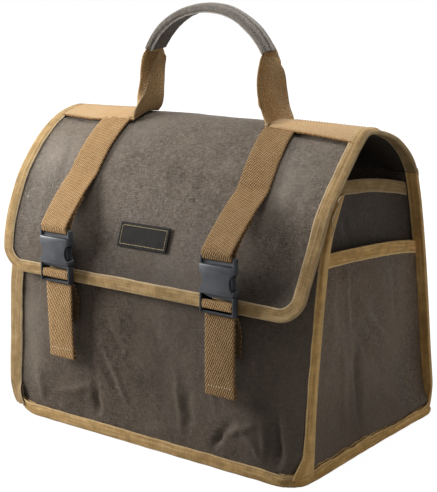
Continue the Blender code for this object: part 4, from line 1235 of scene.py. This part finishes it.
def makeHingeFold():
    # the fold of canvas that joins the back panel to the lid
    hingeY, hingeZ = bag["hinge"][1:]
    bend = {"start": (0, hingeY, hingeZ - 0.0035), "end": (0, hingeY - 0.0025, hingeZ + 0.0035)}
    foldLow = 0.2790

    def place(u, v):
        # it is wider between the ends of the tapes, and tucked a little under them there
        wide = smoothStep(0.30, 0.40, v) * smoothStep(0.70, 0.60, v)
        x = (2 * u - 1) * (seamX - 0.0010 + 0.0140 * wide)
        lift = 0.0011 - 0.0012 * smoothStep(seamX - 0.002, seamX + 0.002, abs(x))
        if v < 0.4:
            z = foldLow + (bag["backTop"] - foldLow) * v / 0.4
            return Vector((x, backY(x, z) + lift, z))
        if v < 0.6:
            a = backY(x, bag["backTop"]) + lift
            b = lidPoint(x, 0.0, lift)
            t = (v - 0.4) / 0.2
            bulge = 0.0007 * math.sin(math.pi * t)
            return Vector((x, a + (b.y - a) * t + bulge, bag["backTop"] + (b.z - bag["backTop"]) * t))
        return lidPoint(x, 0.0100 * (v - 0.6) / 0.4, lift)

    fold = clothSheet("hinge_fold", 90, 20, place, (0.37, 0.025), 0.0010, (0, 1, 0.4))
    finishPiece(fold, shadedFrontCanvas, None, "canvas", "hinge_seam")
    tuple(bend["start"])
    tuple(bend["end"])
    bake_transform(fold)
    wrapRun, overlap = 0.0090, 0.0022

    for side, name in ((-1, "left"), (1, "right")):
        def wrapSurface(run, inset, lift):
            x = side * (halfWidth + gap - inset)
            top = bag["backTop"] - overlap
            t = run / wrapRun
            lift += 0.0004 + 0.0006 * math.sin(math.pi * t)
            over = Vector((x, backY(x, top), top)).lerp(lidPoint(x, overlap), t)
            return over + Vector((0, 0.90, 0.30)) * lift

        wrap = foldedTape(name + "_hinge_tape", 0.0, wrapRun, wrapSurface, None, [], 140.0 + side,
                          step=0.0009)
        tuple(bend["start"])
        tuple(bend["end"])
        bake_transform(wrap)


makeHingeFold()
print("lid made")


# Webbing: two straps on the lid, each looped round its buckle's bar

web = {
    "width": 0.037, "thick": 0.0020, "strapX": 0.110, "rim": 0.00045, "ridgeWidth": 0.038, "ridgeY": -0.0195,
    # how high it lies on the canvas, how far it runs under the ridge strip, and where it leaves the lid
    "lift": 0.0009, "tuckIn": 0.0050, "leaveZ": 0.284, "bar": (-0.1553, 0.2280), "barRadius": 0.0016,
    # how far the top of each strap leans towards the middle of the lid
    "lean": {"left": 0.0, "right": -0.0075},
    # painted highlight (above zero) on the left edge and painted shade (below zero) on the right edge of each
    # strap and tail
    "edgeLightAndShade": {"share": 0.01, "pale": 0.7, "dark": -0.9},
}


def ridgeCentre(x):
    # the left strip lies further forward than the right one
    if x > 0:
        return web["ridgeY"]
    return -0.0310 - 0.0075 * smoothStep(0.090, 0.150, -x)


def strapRoute(x):
    # middle line, in (y, z): down the lid, round the bar and back up behind
    lift = web["lift"] + web["thick"] / 2
    start = lidLengthWhere(x, 1, ridgeCentre(x) - web["ridgeWidth"] / 2 + web["tuckIn"])
    leave = lidLengthWhere(x, 2, web["leaveZ"])
    front = []
    for k in range(10):
        p = lidPoint(x, start + (leave - start) * k / 9, lift)
        front.append(Vector((p.y, p.z)))
    barY, barZ = web["bar"]
    near = web["barRadius"] + web["thick"] / 2 + 0.0005
    top = front[-1]
    low = Vector((barY - near - 0.0002, barZ + 0.0055))
    slope = (top - low).normalized()
    outward = Vector((-slope.y, slope.x))

    def bridge(share, lift):
        return low.lerp(top, share) + outward * (0.0080 * share * (1 - share) + lift)

    front += [bridge(0.75, 0.0), bridge(0.5, 0.0), bridge(0.25, 0.0), low]
    fold = []
    for k in range(7):
        angle = math.radians(180 + 180 * k / 6)
        fold.append(Vector((barY + near * math.cos(angle), barZ + near * math.sin(angle))))
    under = web["thick"] + 0.0006
    back = [Vector((barY + near + 0.0002, barZ + 0.0040)), bridge(0.28, -under), bridge(0.56, -under)]
    return makeRoute(front + fold + back, 8)


def edgeLightAndShade(u, v):
    # a painted highlight on the webbing's left edge and painted shade on its right edge
    edge = web["edgeLightAndShade"]
    if u < edge["share"]:
        return edge["pale"]
    return edge["dark"] if u > 1 - edge["share"] else 0.0


def waver(depth, along, seed, u):
    # how far the webbing's sides stray from straight, outwards from its middle
    return depth * rumple(along, seed, u, 0.006) * (2 * u - 1)


def makeStrap(side, name):
    across, along = 12, 190
    baseX = side * web["strapX"]
    lean = web["lean"][name]
    routes = [strapRoute(baseX + (k / across - 0.5) * web["width"]) for k in range(across + 1)]

    def place(u, v):
        k = round(u * across)
        route = routes[k]
        p, tangent = routeAt(route, v), routeTangent(route, v)
        normal = Vector((tangent.y, -tangent.x))
        swell = 0.00018 * rumple(u * 0.2, v * 0.2, side, 0.03)
        p = p + normal * (web["thick"] / 2 + swell)
        edge = waver(0.00018, v * 0.25, side, u)
        shift = lean * (1 - smoothStep(0.0, 0.42, v))
        return Vector((baseX + (u - 0.5) * web["width"] + edge + shift, p.x, p.y))

    size = (web["width"], routes[across // 2]["length"])
    strap = clothSheet(name + "_strap", across, along, place, size, web["thick"], (0, -1, 1),
                       web["rim"], edgeLightAndShade)
    finishPiece(strap, strapWebbing if side < 0 else shadedWebbing, "lid", "webbing", name + "_lid_strap")


tailShape = {
    # middle line, in (y, z): down the tail and round the fold of its hem
    "route": ((-0.1530, 0.1674), (-0.1533, 0.1560), (-0.1535, 0.1400), (-0.1533, 0.1200), (-0.1531, 0.1000),
              (-0.1530, 0.0860), (-0.1528, 0.0836), (-0.1519, 0.0829), (-0.1510, 0.0836), (-0.1508, 0.0860),
              (-0.1508, 0.0950)),
    "bow": 0.0009, "bowReach": 0.085, "hemFace": -0.1541, "hemZ": 0.0932, "hemSlope": 0.03, "stitch": 0.0011,
    "left": {"tilt": 0.02, "narrow": 0.04}, "right": {"tilt": 0.0, "narrow": 0.0},
}


def makeTail(side, name):
    across, along = 12, 90
    shape = tailShape
    baseX = side * web["strapX"]
    route = makeRoute(shape["route"], 8)
    top = shape["route"][0][1]
    tilt, narrow = shape[name]["tilt"], shape[name]["narrow"]

    def place(u, v):
        p, tangent = routeAt(route, v), routeTangent(route, v, 0.008)
        normal = Vector((tangent.y, -tangent.x))
        drop = top - p.y
        bow = shape["bow"] * math.sin(math.pi * clamp(drop / shape["bowReach"])) * math.sin(math.pi * u)
        p = p + normal * (web["thick"] / 2)
        edge = waver(0.00022, v * 0.15, side * 5, u)
        width = web["width"] * (1 - narrow * smoothStep(0.0, 0.05, drop))
        x = baseX + (u - 0.5) * width + edge + tilt * drop
        return Vector((x, p.x - bow, p.y))

    size = (web["width"], route["length"])
    tail = clothSheet(name + "_tail_web", across, along, place, size, web["thick"], (0, -1, 0),
                      web["rim"], edgeLightAndShade)
    finishPiece(tail, strapWebbing if side < 0 else shadedWebbing, name + "_tail", "webbing", name + "_tail")

    def hemSurface(run, inset, lift):
        x = baseX + run * 0.90 + tilt * 0.074
        return Vector((x, shape["hemFace"] - lift, shape["hemZ"] - inset + shape["hemSlope"] * run))

    reach = web["width"] / 2 - 0.002
    places = stitchPlaces(hemSurface, 0.0, 0.00018, -reach, reach, 0.0034, 0.70)
    stitchRow(name + "_hem_stitches", places, creamThread, name + "_tail", "webbing", shape["stitch"])


anchorShape = {
    # heights where it lies on the panel, then (y, z) up to the ladder's bar
    "sewn": (0.1255, 0.1330, 0.1405, 0.1500),
    "free": ((-0.1452, 0.1590), (-0.1475, 0.1635), (-0.1492, 0.1672)),
    "lift": 0.0007, "rows": (0.1272, 0.1397), "rowReach": 0.0160,
}


def makeAnchor(side, name):
    shape = anchorShape
    baseX = side * web["strapX"]
    sewn = tuple((frontY(baseX, z) - shape["lift"] - web["thick"] / 2, z) for z in shape["sewn"])
    route = makeRoute(sewn + shape["free"], 8)

    def place(u, v):
        p, tangent = routeAt(route, v), routeTangent(route, v)
        normal = Vector((-tangent.y, tangent.x))
        p = p + normal * web["thick"] / 2
        edge = waver(0.0003, v * 0.1, side * 9, u)
        return Vector((baseX + (u - 0.5) * web["width"] + edge, p.x, p.y))

    size = (web["width"], route["length"])
    anchor = clothSheet(name + "_anchor", 10, 36, place, size, web["thick"], (0, -1, 0), web["rim"])
    finishPiece(anchor, shadowedAnchorWebbing, "body", "webbing", name + "_anchor_web")

    def sewnSurface(run, z, lift):
        return Vector((baseX + run, frontY(baseX, z) - shape["lift"] - web["thick"] - lift, z))

    places = []
    for z in shape["rows"]:
        places += stitchPlaces(sewnSurface, z, 0.0001, -shape["rowReach"], shape["rowReach"])
    stitchRow(name + "_anchor_stitches", places, tapeThread, "body", "webbing")


# the turn of webbing round the ladder's bar, and how far it stands from the bar's middle
turnShape = {"middleY": -0.1555, "barZ": 0.17905, "near": 0.0032, "reach": 0.0040, "thick": 0.0014}


def makeThreadedWeb(side, name):
    baseX = side * web["strapX"]
    middleY, barZ, thick = turnShape["middleY"], turnShape["barZ"], turnShape["thick"]
    near, reach = turnShape["near"], turnShape["reach"]
    route = makeRoute([(middleY + near + 0.0002, 0.1684), (middleY + near, 0.1735),
                       (middleY + near, barZ + reach - 0.0012), (middleY + near * 0.6, barZ + reach),
                       (middleY - near * 0.6, barZ + reach), (middleY - near, barZ + reach - 0.0012),
                       (middleY - near, 0.1762), (middleY - near * 0.55, 0.1748),
                       (middleY + near * 0.30, 0.1744)], 8)

    def place(u, v):
        p, tangent = routeAt(route, v), routeTangent(route, v, 0.01)
        normal = Vector((tangent.y, -tangent.x))
        p = p - normal * thick / 2
        return Vector((baseX + (u - 0.5) * (web["width"] - 0.0004), p.x, p.y))

    size = (web["width"], route["length"])
    turn = clothSheet(name + "_ladder_web", 10, 60, place, size, thick, (0, -1, 0), 0.0003)
    finishPiece(turn, strapWebbing, name + "_buckle_male", "webbing", name + "_threaded_web")


for strapSide, strapName in ((-1, "left"), (1, "right")):
    makeStrap(strapSide, strapName)
    makeTail(strapSide, strapName)
    makeAnchor(strapSide, strapName)
    makeThreadedWeb(strapSide, strapName)
print("straps and tails made")


# Buckles: the part's own mouldings, joined up and with their edges rounded

def mouldedCopy(nodeName, body, edge, name, plastic):
    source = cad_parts[nodeName]
    moulding = source.copy()
    moulding.data = source.data.copy()
    for key in list(moulding.keys()):
        del moulding[key]
    moulding.parent = None
    moulding.name = name
    moulding.data.name = name
    bpy.context.scene.collection.objects.link(moulding)
    makeActive(moulding)
    bpy.ops.object.mode_set(mode="EDIT")
    bpy.ops.mesh.select_all(action="SELECT")
    bpy.ops.mesh.remove_doubles(threshold=0.00002)
    bpy.ops.mesh.dissolve_limited(angle_limit=math.radians(1.0))
    bpy.ops.object.mode_set(mode="OBJECT")
    rounding = moulding.modifiers.new("rounding", "BEVEL")
    rounding.width = edge
    rounding.segments = 3
    rounding.limit_method = "ANGLE"
    rounding.angle_limit = math.radians(35)
    rounding.use_clamp_overlap = True
    applyAll(moulding)
    shadeSmooth(moulding, 32)
    return finishPiece(moulding, plastic, body, "buckle", nodeName)


rounded = {"frame": 0.0004, "prong": 0.0005}

for strapName in ("left", "right"):
    mouldedCopy(strapName + "_buckle_housing", "lid", rounded["frame"], strapName + "_housing", bucklePlastic)
    mouldedCopy(strapName + "_buckle_ladder", strapName + "_buckle_male", rounded["frame"],
                strapName + "_ladder", ladderPlastic)
    for letter in ("a", "b"):
        prong = f"{strapName}_prong_{letter}"
        mouldedCopy(prong, prong, rounded["prong"], f"{strapName}_squeeze_{letter}", ladderPlastic)
print("buckles made")


# Label: a blank woven patch with a thin border

labelShape = {
    "x": -0.006, "top": 0.2410, "width": 0.067, "height": 0.027, "thick": 0.0009, "lift": 0.0012,
    # rows of thread round it: inset, lift, pitch, share of the pitch, thickness
    "border": (0.0034, 0.00018, 0.0022, 1.06, 0.00075), "stitches": (0.0011, 0.0002, 0.0034, 0.72, 0.0005),
}


def makeLabel():
    shape = labelShape
    start = lidLengthWhere(shape["x"], 2, shape["top"])

    def surface(across, down, lift):
        return lidPoint(shape["x"] + across, start + down, shape["lift"] + lift)

    def place(u, v):
        curl = 0.0004 * (abs(2 * u - 1) ** 6 + abs(2 * v - 1) ** 6) - 0.0004
        wave = 0.00015 * rumple(u * 0.07, v * 0.03, 2, 0.012)
        return surface((u - 0.5) * shape["width"], v * shape["height"], wave - curl * 0.3)

    label = clothSheet("label_patch", 40, 18, place, (shape["width"], shape["height"]), shape["thick"],
                       (0, -1, 0.3), 0.0003)
    finishPiece(label, labelCloth, "lid", "label", "label")

    def upright(run, across, lift):
        return surface(across, run, lift)

    for kind, thread in (("border", goldThread), ("stitches", darkThread)):
        inset, lift, pitch, share, thick = shape[kind]
        edge, low, high = shape["width"] / 2 - inset, inset, shape["height"] - inset
        places = []
        for down in (low, high):
            places += stitchPlaces(surface, down, lift, -edge, edge, pitch, share)
        for across in (-edge, edge):
            places += stitchPlaces(upright, across, lift, low, high, pitch, share)
        stitchRow("label_" + kind, places, thread, "lid", "label", thick)


def makeLabelCloth():
    material, tree, shader, _, cloth = startMaterial("labelCloth", 0.6, 0.08, 0.0)
    ribs = useGroup(tree, tapeRibs, {"Cloth": cloth, "Pitch": 0.0006})
    ground = mixColour(tree, ribs["Tone"], (0.005, 0.0045, 0.004, 1), (0.014, 0.012, 0.010, 1))
    tree.links.new(ground, shader.inputs["Base Color"])
    addBump(tree, shader, ribs["Height"], 0.4, 0.0001)
    return material


labelCloth = makeLabelCloth()
makeLabel()
print("label made")


# Handle: webbing that runs in along the ridge, turns up, folds lengthwise and goes into the canvas grip

handle = {
    "turn": 0.0008, "webThick": 0.0019, "stripOut": 0.0050, "stitchInset": 0.0022, "stitchStart": 0.0985,
    # where the front and back edge of a leg leave the strip, and the flat length of strip, turn and leg
    "footZ": (0.345, 0.349), "clothRuns": (0.094, 0.0063, 0.078),
    # outline of each leg, (height, distance from the middle), at its front and back edge
    "front": {
        "right": ((0.3424, 0.0872), (0.3515, 0.0828), (0.3638, 0.0796), (0.3760, 0.0768), (0.3904, 0.0748),
                  (0.3986, 0.0746), (0.4069, 0.0756), (0.4127, 0.0764), (0.4185, 0.0768), (0.4289, 0.0705)),
        "left": ((0.3395, 0.0901), (0.3588, 0.0857), (0.3720, 0.0842), (0.3829, 0.0836), (0.3958, 0.0860),
                 (0.4045, 0.0872), (0.4129, 0.0858), (0.4185, 0.0815), (0.4289, 0.0715)),
    },
    "back": {
        "right": ((0.3424, 0.0962), (0.3505, 0.0941), (0.3634, 0.0888), (0.3802, 0.0876), (0.3950, 0.0886),
                  (0.4076, 0.0864), (0.4159, 0.0822), (0.4185, 0.0802), (0.4289, 0.0722)),
        "left": ((0.3395, 0.0880), (0.3479, 0.0835), (0.3539, 0.0786), (0.3629, 0.0770), (0.3762, 0.0786),
                 (0.3941, 0.0804), (0.4055, 0.0790), (0.4119, 0.0785), (0.4185, 0.0768), (0.4289, 0.0700)),
    },
    # half of each leg's width at each height
    "half": {
        "left": ((0.345, 0.0190), (0.385, 0.0190), (0.4045, 0.0165), (0.4129, 0.0138), (0.4185, 0.0112),
                 (0.4289, 0.0100)),
        "right": ((0.345, 0.0190), (0.376, 0.0188), (0.3986, 0.0135), (0.4127, 0.0120), (0.4185, 0.0110),
                  (0.4289, 0.0100)),
    },
    "flapFront": 0.0125, "flapBack": 0.0015, "bend": 0.0050,
}

grip = {
    "radius": 0.090, "z": 0.3735, "end": math.radians(30), "width": 0.0215, "thick": 0.0095, "cloth": 0.0013,
    # the sewn channel along its outer face, and the edge of the sleeve that laps over inside
    "channelY": -0.0016, "channelWidth": 0.0014, "channelDepth": 0.0022, "lapY": -0.0080,
    "clothWidth": 0.060, "stitch": 0.0007,
}


def gripY(x):
    # the grip's right half hangs a little further forward
    return -0.0208 - 0.0030 * smoothStep(-0.02, 0.08, x)


def legY(side, z):
    start = ridgeCentre(side * 0.090)
    return start + (gripY(side * 0.08) - start) * smoothStep(0.352, 0.408, z)


def legSection(t, steps=24):
    # (across, depth) points of the webbing's section, front edge to back edge, at share t up the leg
    half = web["ridgeWidth"] / 2
    halves = []
    for flap, turned in ((handle["flapFront"] * smoothStep(0.0, 1.0, t), math.pi * smoothStep(0.0, 0.55, t)),
                         (handle["flapBack"] * smoothStep(0.75, 1.0, t), math.pi * smoothStep(0.72, 1.0, t))):
        start, end = half - flap - handle["bend"], half - flap
        a, d, points = 0.0, 0.0, [(0.0, 0.0)]
        for k in range(steps):
            at = half * (k + 0.5) / steps
            heading = turned * smoothStep(start, end, at)
            a += math.cos(heading) * half / steps
            d += math.sin(heading) * half / steps
            points.append((a, d))
        halves.append(points)
    section = [(-a, d) for a, d in reversed(halves[0])] + halves[1][1:]
    low, high = min(a for a, d in section), max(a for a, d in section)
    return [(a - (low + high) / 2, d) for a, d in section]


def makeLeg(side, name):
    front, back = handle["front"][name], handle["back"][name]
    half, turn, thick = web["ridgeWidth"] / 2, handle["turn"], handle["webThick"]
    lift = web["lift"] + thick
    across = 48
    endZ = back[-1][0]
    outer = seamX + handle["stripOut"]
    frontFoot, backFoot = (heightCurve(edge, z) for edge, z in zip((front, back), handle["footZ"]))
    stations = [("run", k / 40) for k in range(40)] + [("turn", k / 7) for k in range(7)]
    stations += [("leg", k / 56) for k in range(57)]
    last = len(stations) - 1
    sections = {}

    def ground(x, y):
        return lidPoint(side * x, lidLengthWhere(side * x, 1, y, 0.0, 1.0), lift)

    def place(u, v):
        kind, share = stations[round(v * last)]
        s = 2 * u - 1
        y = ridgeCentre(side * 0.090) + s * half
        baseX = frontFoot * (1 - u) + backFoot * u
        if kind == "run":
            x = outer + (baseX + turn - outer) * share
            spot = ground(x, ridgeCentre(side * x) + s * half)
            spot.z += 0.00022 * rumple(x, y, side, 0.012)
            return spot
        base = ground(baseX + turn, y).z - 0.0012 * smoothStep(0.6, 1.0, u)
        if kind == "turn":
            angle = math.radians(90) * share
            x = baseX + turn - turn * math.sin(angle)
            return Vector((side * x, y, base + turn - turn * math.cos(angle)))
        if share not in sections:
            sections[share] = legSection(clamp(share * 1.16))
        a, d = sections[share][round(u * across)]
        foot = base + turn
        z = foot + (endZ - foot) * share
        xFront, xBack = heightCurve(front, z), heightCurve(back, z)
        flat = [p[0] for p in sections[share]]
        wide = max(flat) - min(flat)
        skew = (xBack - xFront) / wide * side
        x = side * (xFront + xBack) / 2 + a * skew
        inward = Vector((-side, 0.0, 0.0))
        tuck = smoothStep(0.40, 0.425, z)
        lean = Vector((-side * math.cos(grip["end"]), 0.0, -math.sin(grip["end"])))
        inward = inward.lerp(lean, tuck)
        ripple = 0.0008 * rumple(y, z, side * 4, 0.020) * smoothStep(0.0, 0.2, share)
        spread = 2 * heightCurve(handle["half"][name], z) / wide
        # the flap at the front stands clear of the leg and closes up below the grip
        gape = (1.35 if u < 0.5 else 0.80) * (1 - 0.70 * smoothStep(0.411, 0.419, z))
        if side > 0 and u < 0.5:
            gape *= 0.45 + 0.55 * smoothStep(0.358, 0.378, z)
        top = smoothStep(0.414, 0.425, z)
        depth = d * gape + ripple * (1 - top) - 0.0012 * top
        return Vector((x, legY(side, z) + a * spread, z)) + inward * depth

    def rimAt(u, v):
        # painted top light on the strips, with painted shade along their front edge, in lines by the straps
        # and down the turn; each leg has painted highlights on its edges, and painted light and painted shade
        # on its faces
        kind, share = stations[round(v * last)]
        if kind != "leg":
            if kind == "run" and u < 0.03:
                return -0.9
            pleatShade = sum(math.exp(-((share * 0.1 - at) / 0.0009) ** 2)
                         for at in (0.052, 0.058, 0.066, 0.075))
            return 1.0 - 0.6 * pleatShade - (0.5 * share if kind == "turn" else 0.0)
        if u < 0.045 or u > 0.955:
            return 1.2
        if side < 0:
            return 0.3 + 0.3 * (1 - share) - 0.95 * smoothStep(0.36, 0.30, u) * smoothStep(0.2, 0.6, share)
        return 0.75 * smoothStep(0.45, 0.70, u) - 0.42 * math.exp(-((u - 0.22) / 0.20) ** 2)

    size = (web["ridgeWidth"], sum(handle["clothRuns"]))
    leg = clothSheet(name + "_handle_web", across, last, place, size, thick, (side * 0.3, 0, 1),
                     0.0004, rimAt)
    nodes = [name + "_ridge_web"] + (["handle_web"] if side < 0 else [])
    finishPiece(leg, litHandleWebbing, None, "webbing", *nodes)
    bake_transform(leg)

    def edgeSurface(run, across, rise):
        return ground(run, ridgeCentre(side * run) - half + across) + Vector((0, 0, rise))

    places = []
    for inset in (handle["stitchInset"], web["ridgeWidth"] - handle["stitchInset"]):
        places += stitchPlaces(edgeSurface, inset, 0.0001, handle["stitchStart"], seamX - 0.002)
    stitchRow(name + "_ridge_stitches", places, tapeThread, "lid", "webbing")


def makeGrip():
    around, along = 96, 110
    shape = grip
    radius, middleZ, halfTurn = shape["radius"], shape["z"], math.pi - 2 * shape["end"]

    def section(turnShare):
        # starts and ends at the seam on the inner face; the outer face has a sewn channel
        angle = 2 * math.pi * turnShare
        across = math.copysign(abs(math.sin(angle)) ** 0.62, math.sin(angle)) * shape["width"] / 2
        out = -math.copysign(abs(math.cos(angle)) ** 0.60, math.cos(angle)) * shape["thick"] / 2
        if out > 0:
            off = across - shape["channelY"]
            out -= shape["channelDepth"] * math.exp(-(off / shape["channelWidth"]) ** 2)
            out += 0.0004 * math.exp(-((abs(off) - 0.0048) / 0.0024) ** 2)
        else:
            # one edge of the sleeve laps over the other inside
            out += 0.0010 * smoothStep(-0.0046, -0.0026, across)
            out -= 0.0012 * math.exp(-((across - shape["lapY"]) / 0.0008) ** 2)
        return across, out

    def rimAt(across, out):
        # a painted highlight beside the painted shade of the channel, and the same at the lap inside
        if out > 0:
            pale = 0.9 * math.exp(-((across - 0.0012) / 0.0008) ** 2)
            return pale - 1.2 * math.exp(-((across - shape["channelY"]) / shape["channelWidth"]) ** 2)
        pale = 1.3 * math.exp(-((across - shape["lapY"]) / 0.0009) ** 2)
        return pale - 0.9 * math.exp(-((across + 0.0040) / 0.0008) ** 2)

    def place(u, v):
        across, out = section(u % 1.0)
        angle = shape["end"] + halfTurn * v
        angle -= math.radians(2.8) * across / (shape["width"] / 2) * smoothStep(0.80, 1.0, v)
        inner = smoothStep(0.001, -0.004, out)
        crumple = 0.0005 * rumple(angle * 0.10, across * 0.4, u, 0.007) * (0.4 + 0.6 * inner)
        crumple += 0.0004 * rumple(angle * 0.09, across, 4, 0.020)
        twist = 0.36 * smoothStep(math.radians(95), math.radians(150), angle)
        reach = radius + out + crumple - twist * across
        x = reach * math.cos(angle)
        y = gripY(x) + across * (1 + 0.02 * rumple(angle, 1, 1, 0.3))
        return Vector((x, y, middleZ + reach * math.sin(angle)))

    length = radius * halfTurn
    sleeve = gridPiece("grip_sleeve", around, along, place,
                       lambda u, v: (u * shape["clothWidth"], v * length))[0]
    makeActive(sleeve)
    bpy.ops.object.mode_set(mode="EDIT")
    bpy.ops.mesh.select_all(action="SELECT")
    bpy.ops.mesh.remove_doubles(threshold=0.00001)
    bpy.ops.mesh.normals_make_consistent(inside=False)
    bpy.ops.object.mode_set(mode="OBJECT")
    setRim(sleeve, lambda p: rimAt(p.y - gripY(p.x), math.hypot(p.x, p.z - middleZ) - radius))
    top = max(sleeve.data.polygons, key=lambda face: face.center.z)
    if top.normal.z < 0:
        sleeve.data.flip_normals()
    addThickness(sleeve, shape["cloth"], even=False)
    shadeSmooth(sleeve, 60)
    finishPiece(sleeve, gripCanvas, "handle", "canvas", "handle_grip")

    def channel(run, inset, lift):
        out = radius + shape["thick"] / 2 - 0.0020 + lift
        angle = run / radius
        x = out * math.cos(angle)
        return Vector((x, gripY(x) + shape["channelY"] + inset, middleZ + out * math.sin(angle)))

    low = shape["end"] * radius
    places = stitchPlaces(channel, 0.0, 0.0002, low + 0.001, math.pi * radius - low - 0.001)
    stitchRow("grip_stitches", places, tapeThread, "handle", "canvas", shape["stitch"])


makeLeg(-1, "left")
makeLeg(1, "right")
makeGrip()
print("handle made")


# Camera, light and floor

view = {"azimuth": 36.68, "elevation": 12.61, "distance": 1.380, "target": (-0.0039, -0.0029, 0.1963),
        "lens": 88.65}


def makeCamera():
    around, up = math.radians(view["azimuth"]), math.radians(view["elevation"])
    away = Vector((math.sin(around) * math.cos(up), -math.cos(around) * math.cos(up), math.sin(up)))
    place = Vector(view["target"]) + away * view["distance"]
    bpy.ops.object.camera_add(location=place, rotation=away.to_track_quat("Z", "Y").to_euler())
    camera = bpy.context.active_object
    camera.name = "photo_camera"
    camera.data.lens = view["lens"]
    camera.data.sensor_width = 36.0
    camera.data.clip_start, camera.data.clip_end = 0.05, 30.0
    bpy.context.scene.camera = camera


studio = {
    # place, what it faces, size across, watts
    "key": ((-0.75, -0.50, 0.50), (-0.05, -0.08, 0.18), 0.40, 12.5),
    "top": ((0.02, 0.13, 1.27), (0.0, -0.03, 0.30), 0.55, 11.5),
    "fill": ((1.60, -0.10, 0.30), (0.18, 0.0, 0.15), 1.0, 4.8),
    "ambient": 0.11, "background": 1.0, "floorColour": (0.45, 0.45, 0.45, 1), "floorGlow": 1.10,
}


def makeLights():
    for name in ("key", "top", "fill"):
        place, target, size, watts = studio[name]
        aim = (Vector(place) - Vector(target)).to_track_quat("Z", "Y").to_euler()
        bpy.ops.object.light_add(type="AREA", location=place, rotation=aim)
        lamp = bpy.context.active_object
        lamp.name = name + "_light"
        lamp.data.size = size
        lamp.data.energy = watts


def seenRay(tree):
    # 1 for rays that see the background: from the camera, in gloss and through clear material
    path = addNode(tree, "ShaderNodeLightPath").outputs
    seen = calc(tree, "MAXIMUM", path["Is Camera Ray"], path["Is Glossy Ray"])
    return calc(tree, "MAXIMUM", seen, path["Is Transmission Ray"])


def makeWorld():
    world = bpy.data.worlds.new("studioWhite")
    world.use_nodes = True
    bpy.context.scene.world = world
    tree = world.node_tree
    shade = tree.nodes["Background"]
    strength = remap(tree, seenRay(tree), 0.0, 1.0, studio["ambient"], studio["background"])
    shade.inputs["Color"].default_value = (1, 1, 1, 1)
    tree.links.new(strength, shade.inputs["Strength"])


def makeFloorStage():
    deselectAll()
    bpy.ops.mesh.primitive_plane_add(size=14, location=(0, 0, -0.0004))
    floor = bpy.context.active_object
    floor.name = "studio_floor"
    material = bpy.data.materials.new("studioFloor")
    material.use_nodes = True
    tree = material.node_tree
    shader = tree.nodes["Principled BSDF"]
    shader.inputs["Base Color"].default_value = studio["floorColour"]
    shader.inputs["Roughness"].default_value = 0.9
    shader.inputs["Specular IOR Level"].default_value = 0.0
    # near the bag some of the lamps' light shows, with its shadow, and further out the floor is plain white
    place = addNode(tree, "ShaderNodeTexCoord").outputs["Object"]
    away = addNode(tree, "ShaderNodeVectorMath", {0: place}, operation="LENGTH").outputs["Value"]
    share = remap(tree, away, 0.22, 0.42, 0.89, 1.0)
    glow = addNode(tree, "ShaderNodeEmission", {"Color": (1, 1, 1, 1), "Strength": studio["floorGlow"]})
    blend = addNode(tree, "ShaderNodeMixShader", {0: calc(tree, "MULTIPLY", seenRay(tree), share)})
    tree.links.new(shader.outputs[0], blend.inputs[1])
    tree.links.new(glow.outputs[0], blend.inputs[2])
    tree.links.new(blend.outputs[0], tree.nodes["Material Output"].inputs["Surface"])
    floor.data.materials.append(material)


makeCamera()
makeLights()
makeWorld()
makeFloorStage()
bpy.context.scene.view_settings.view_transform = "Standard"
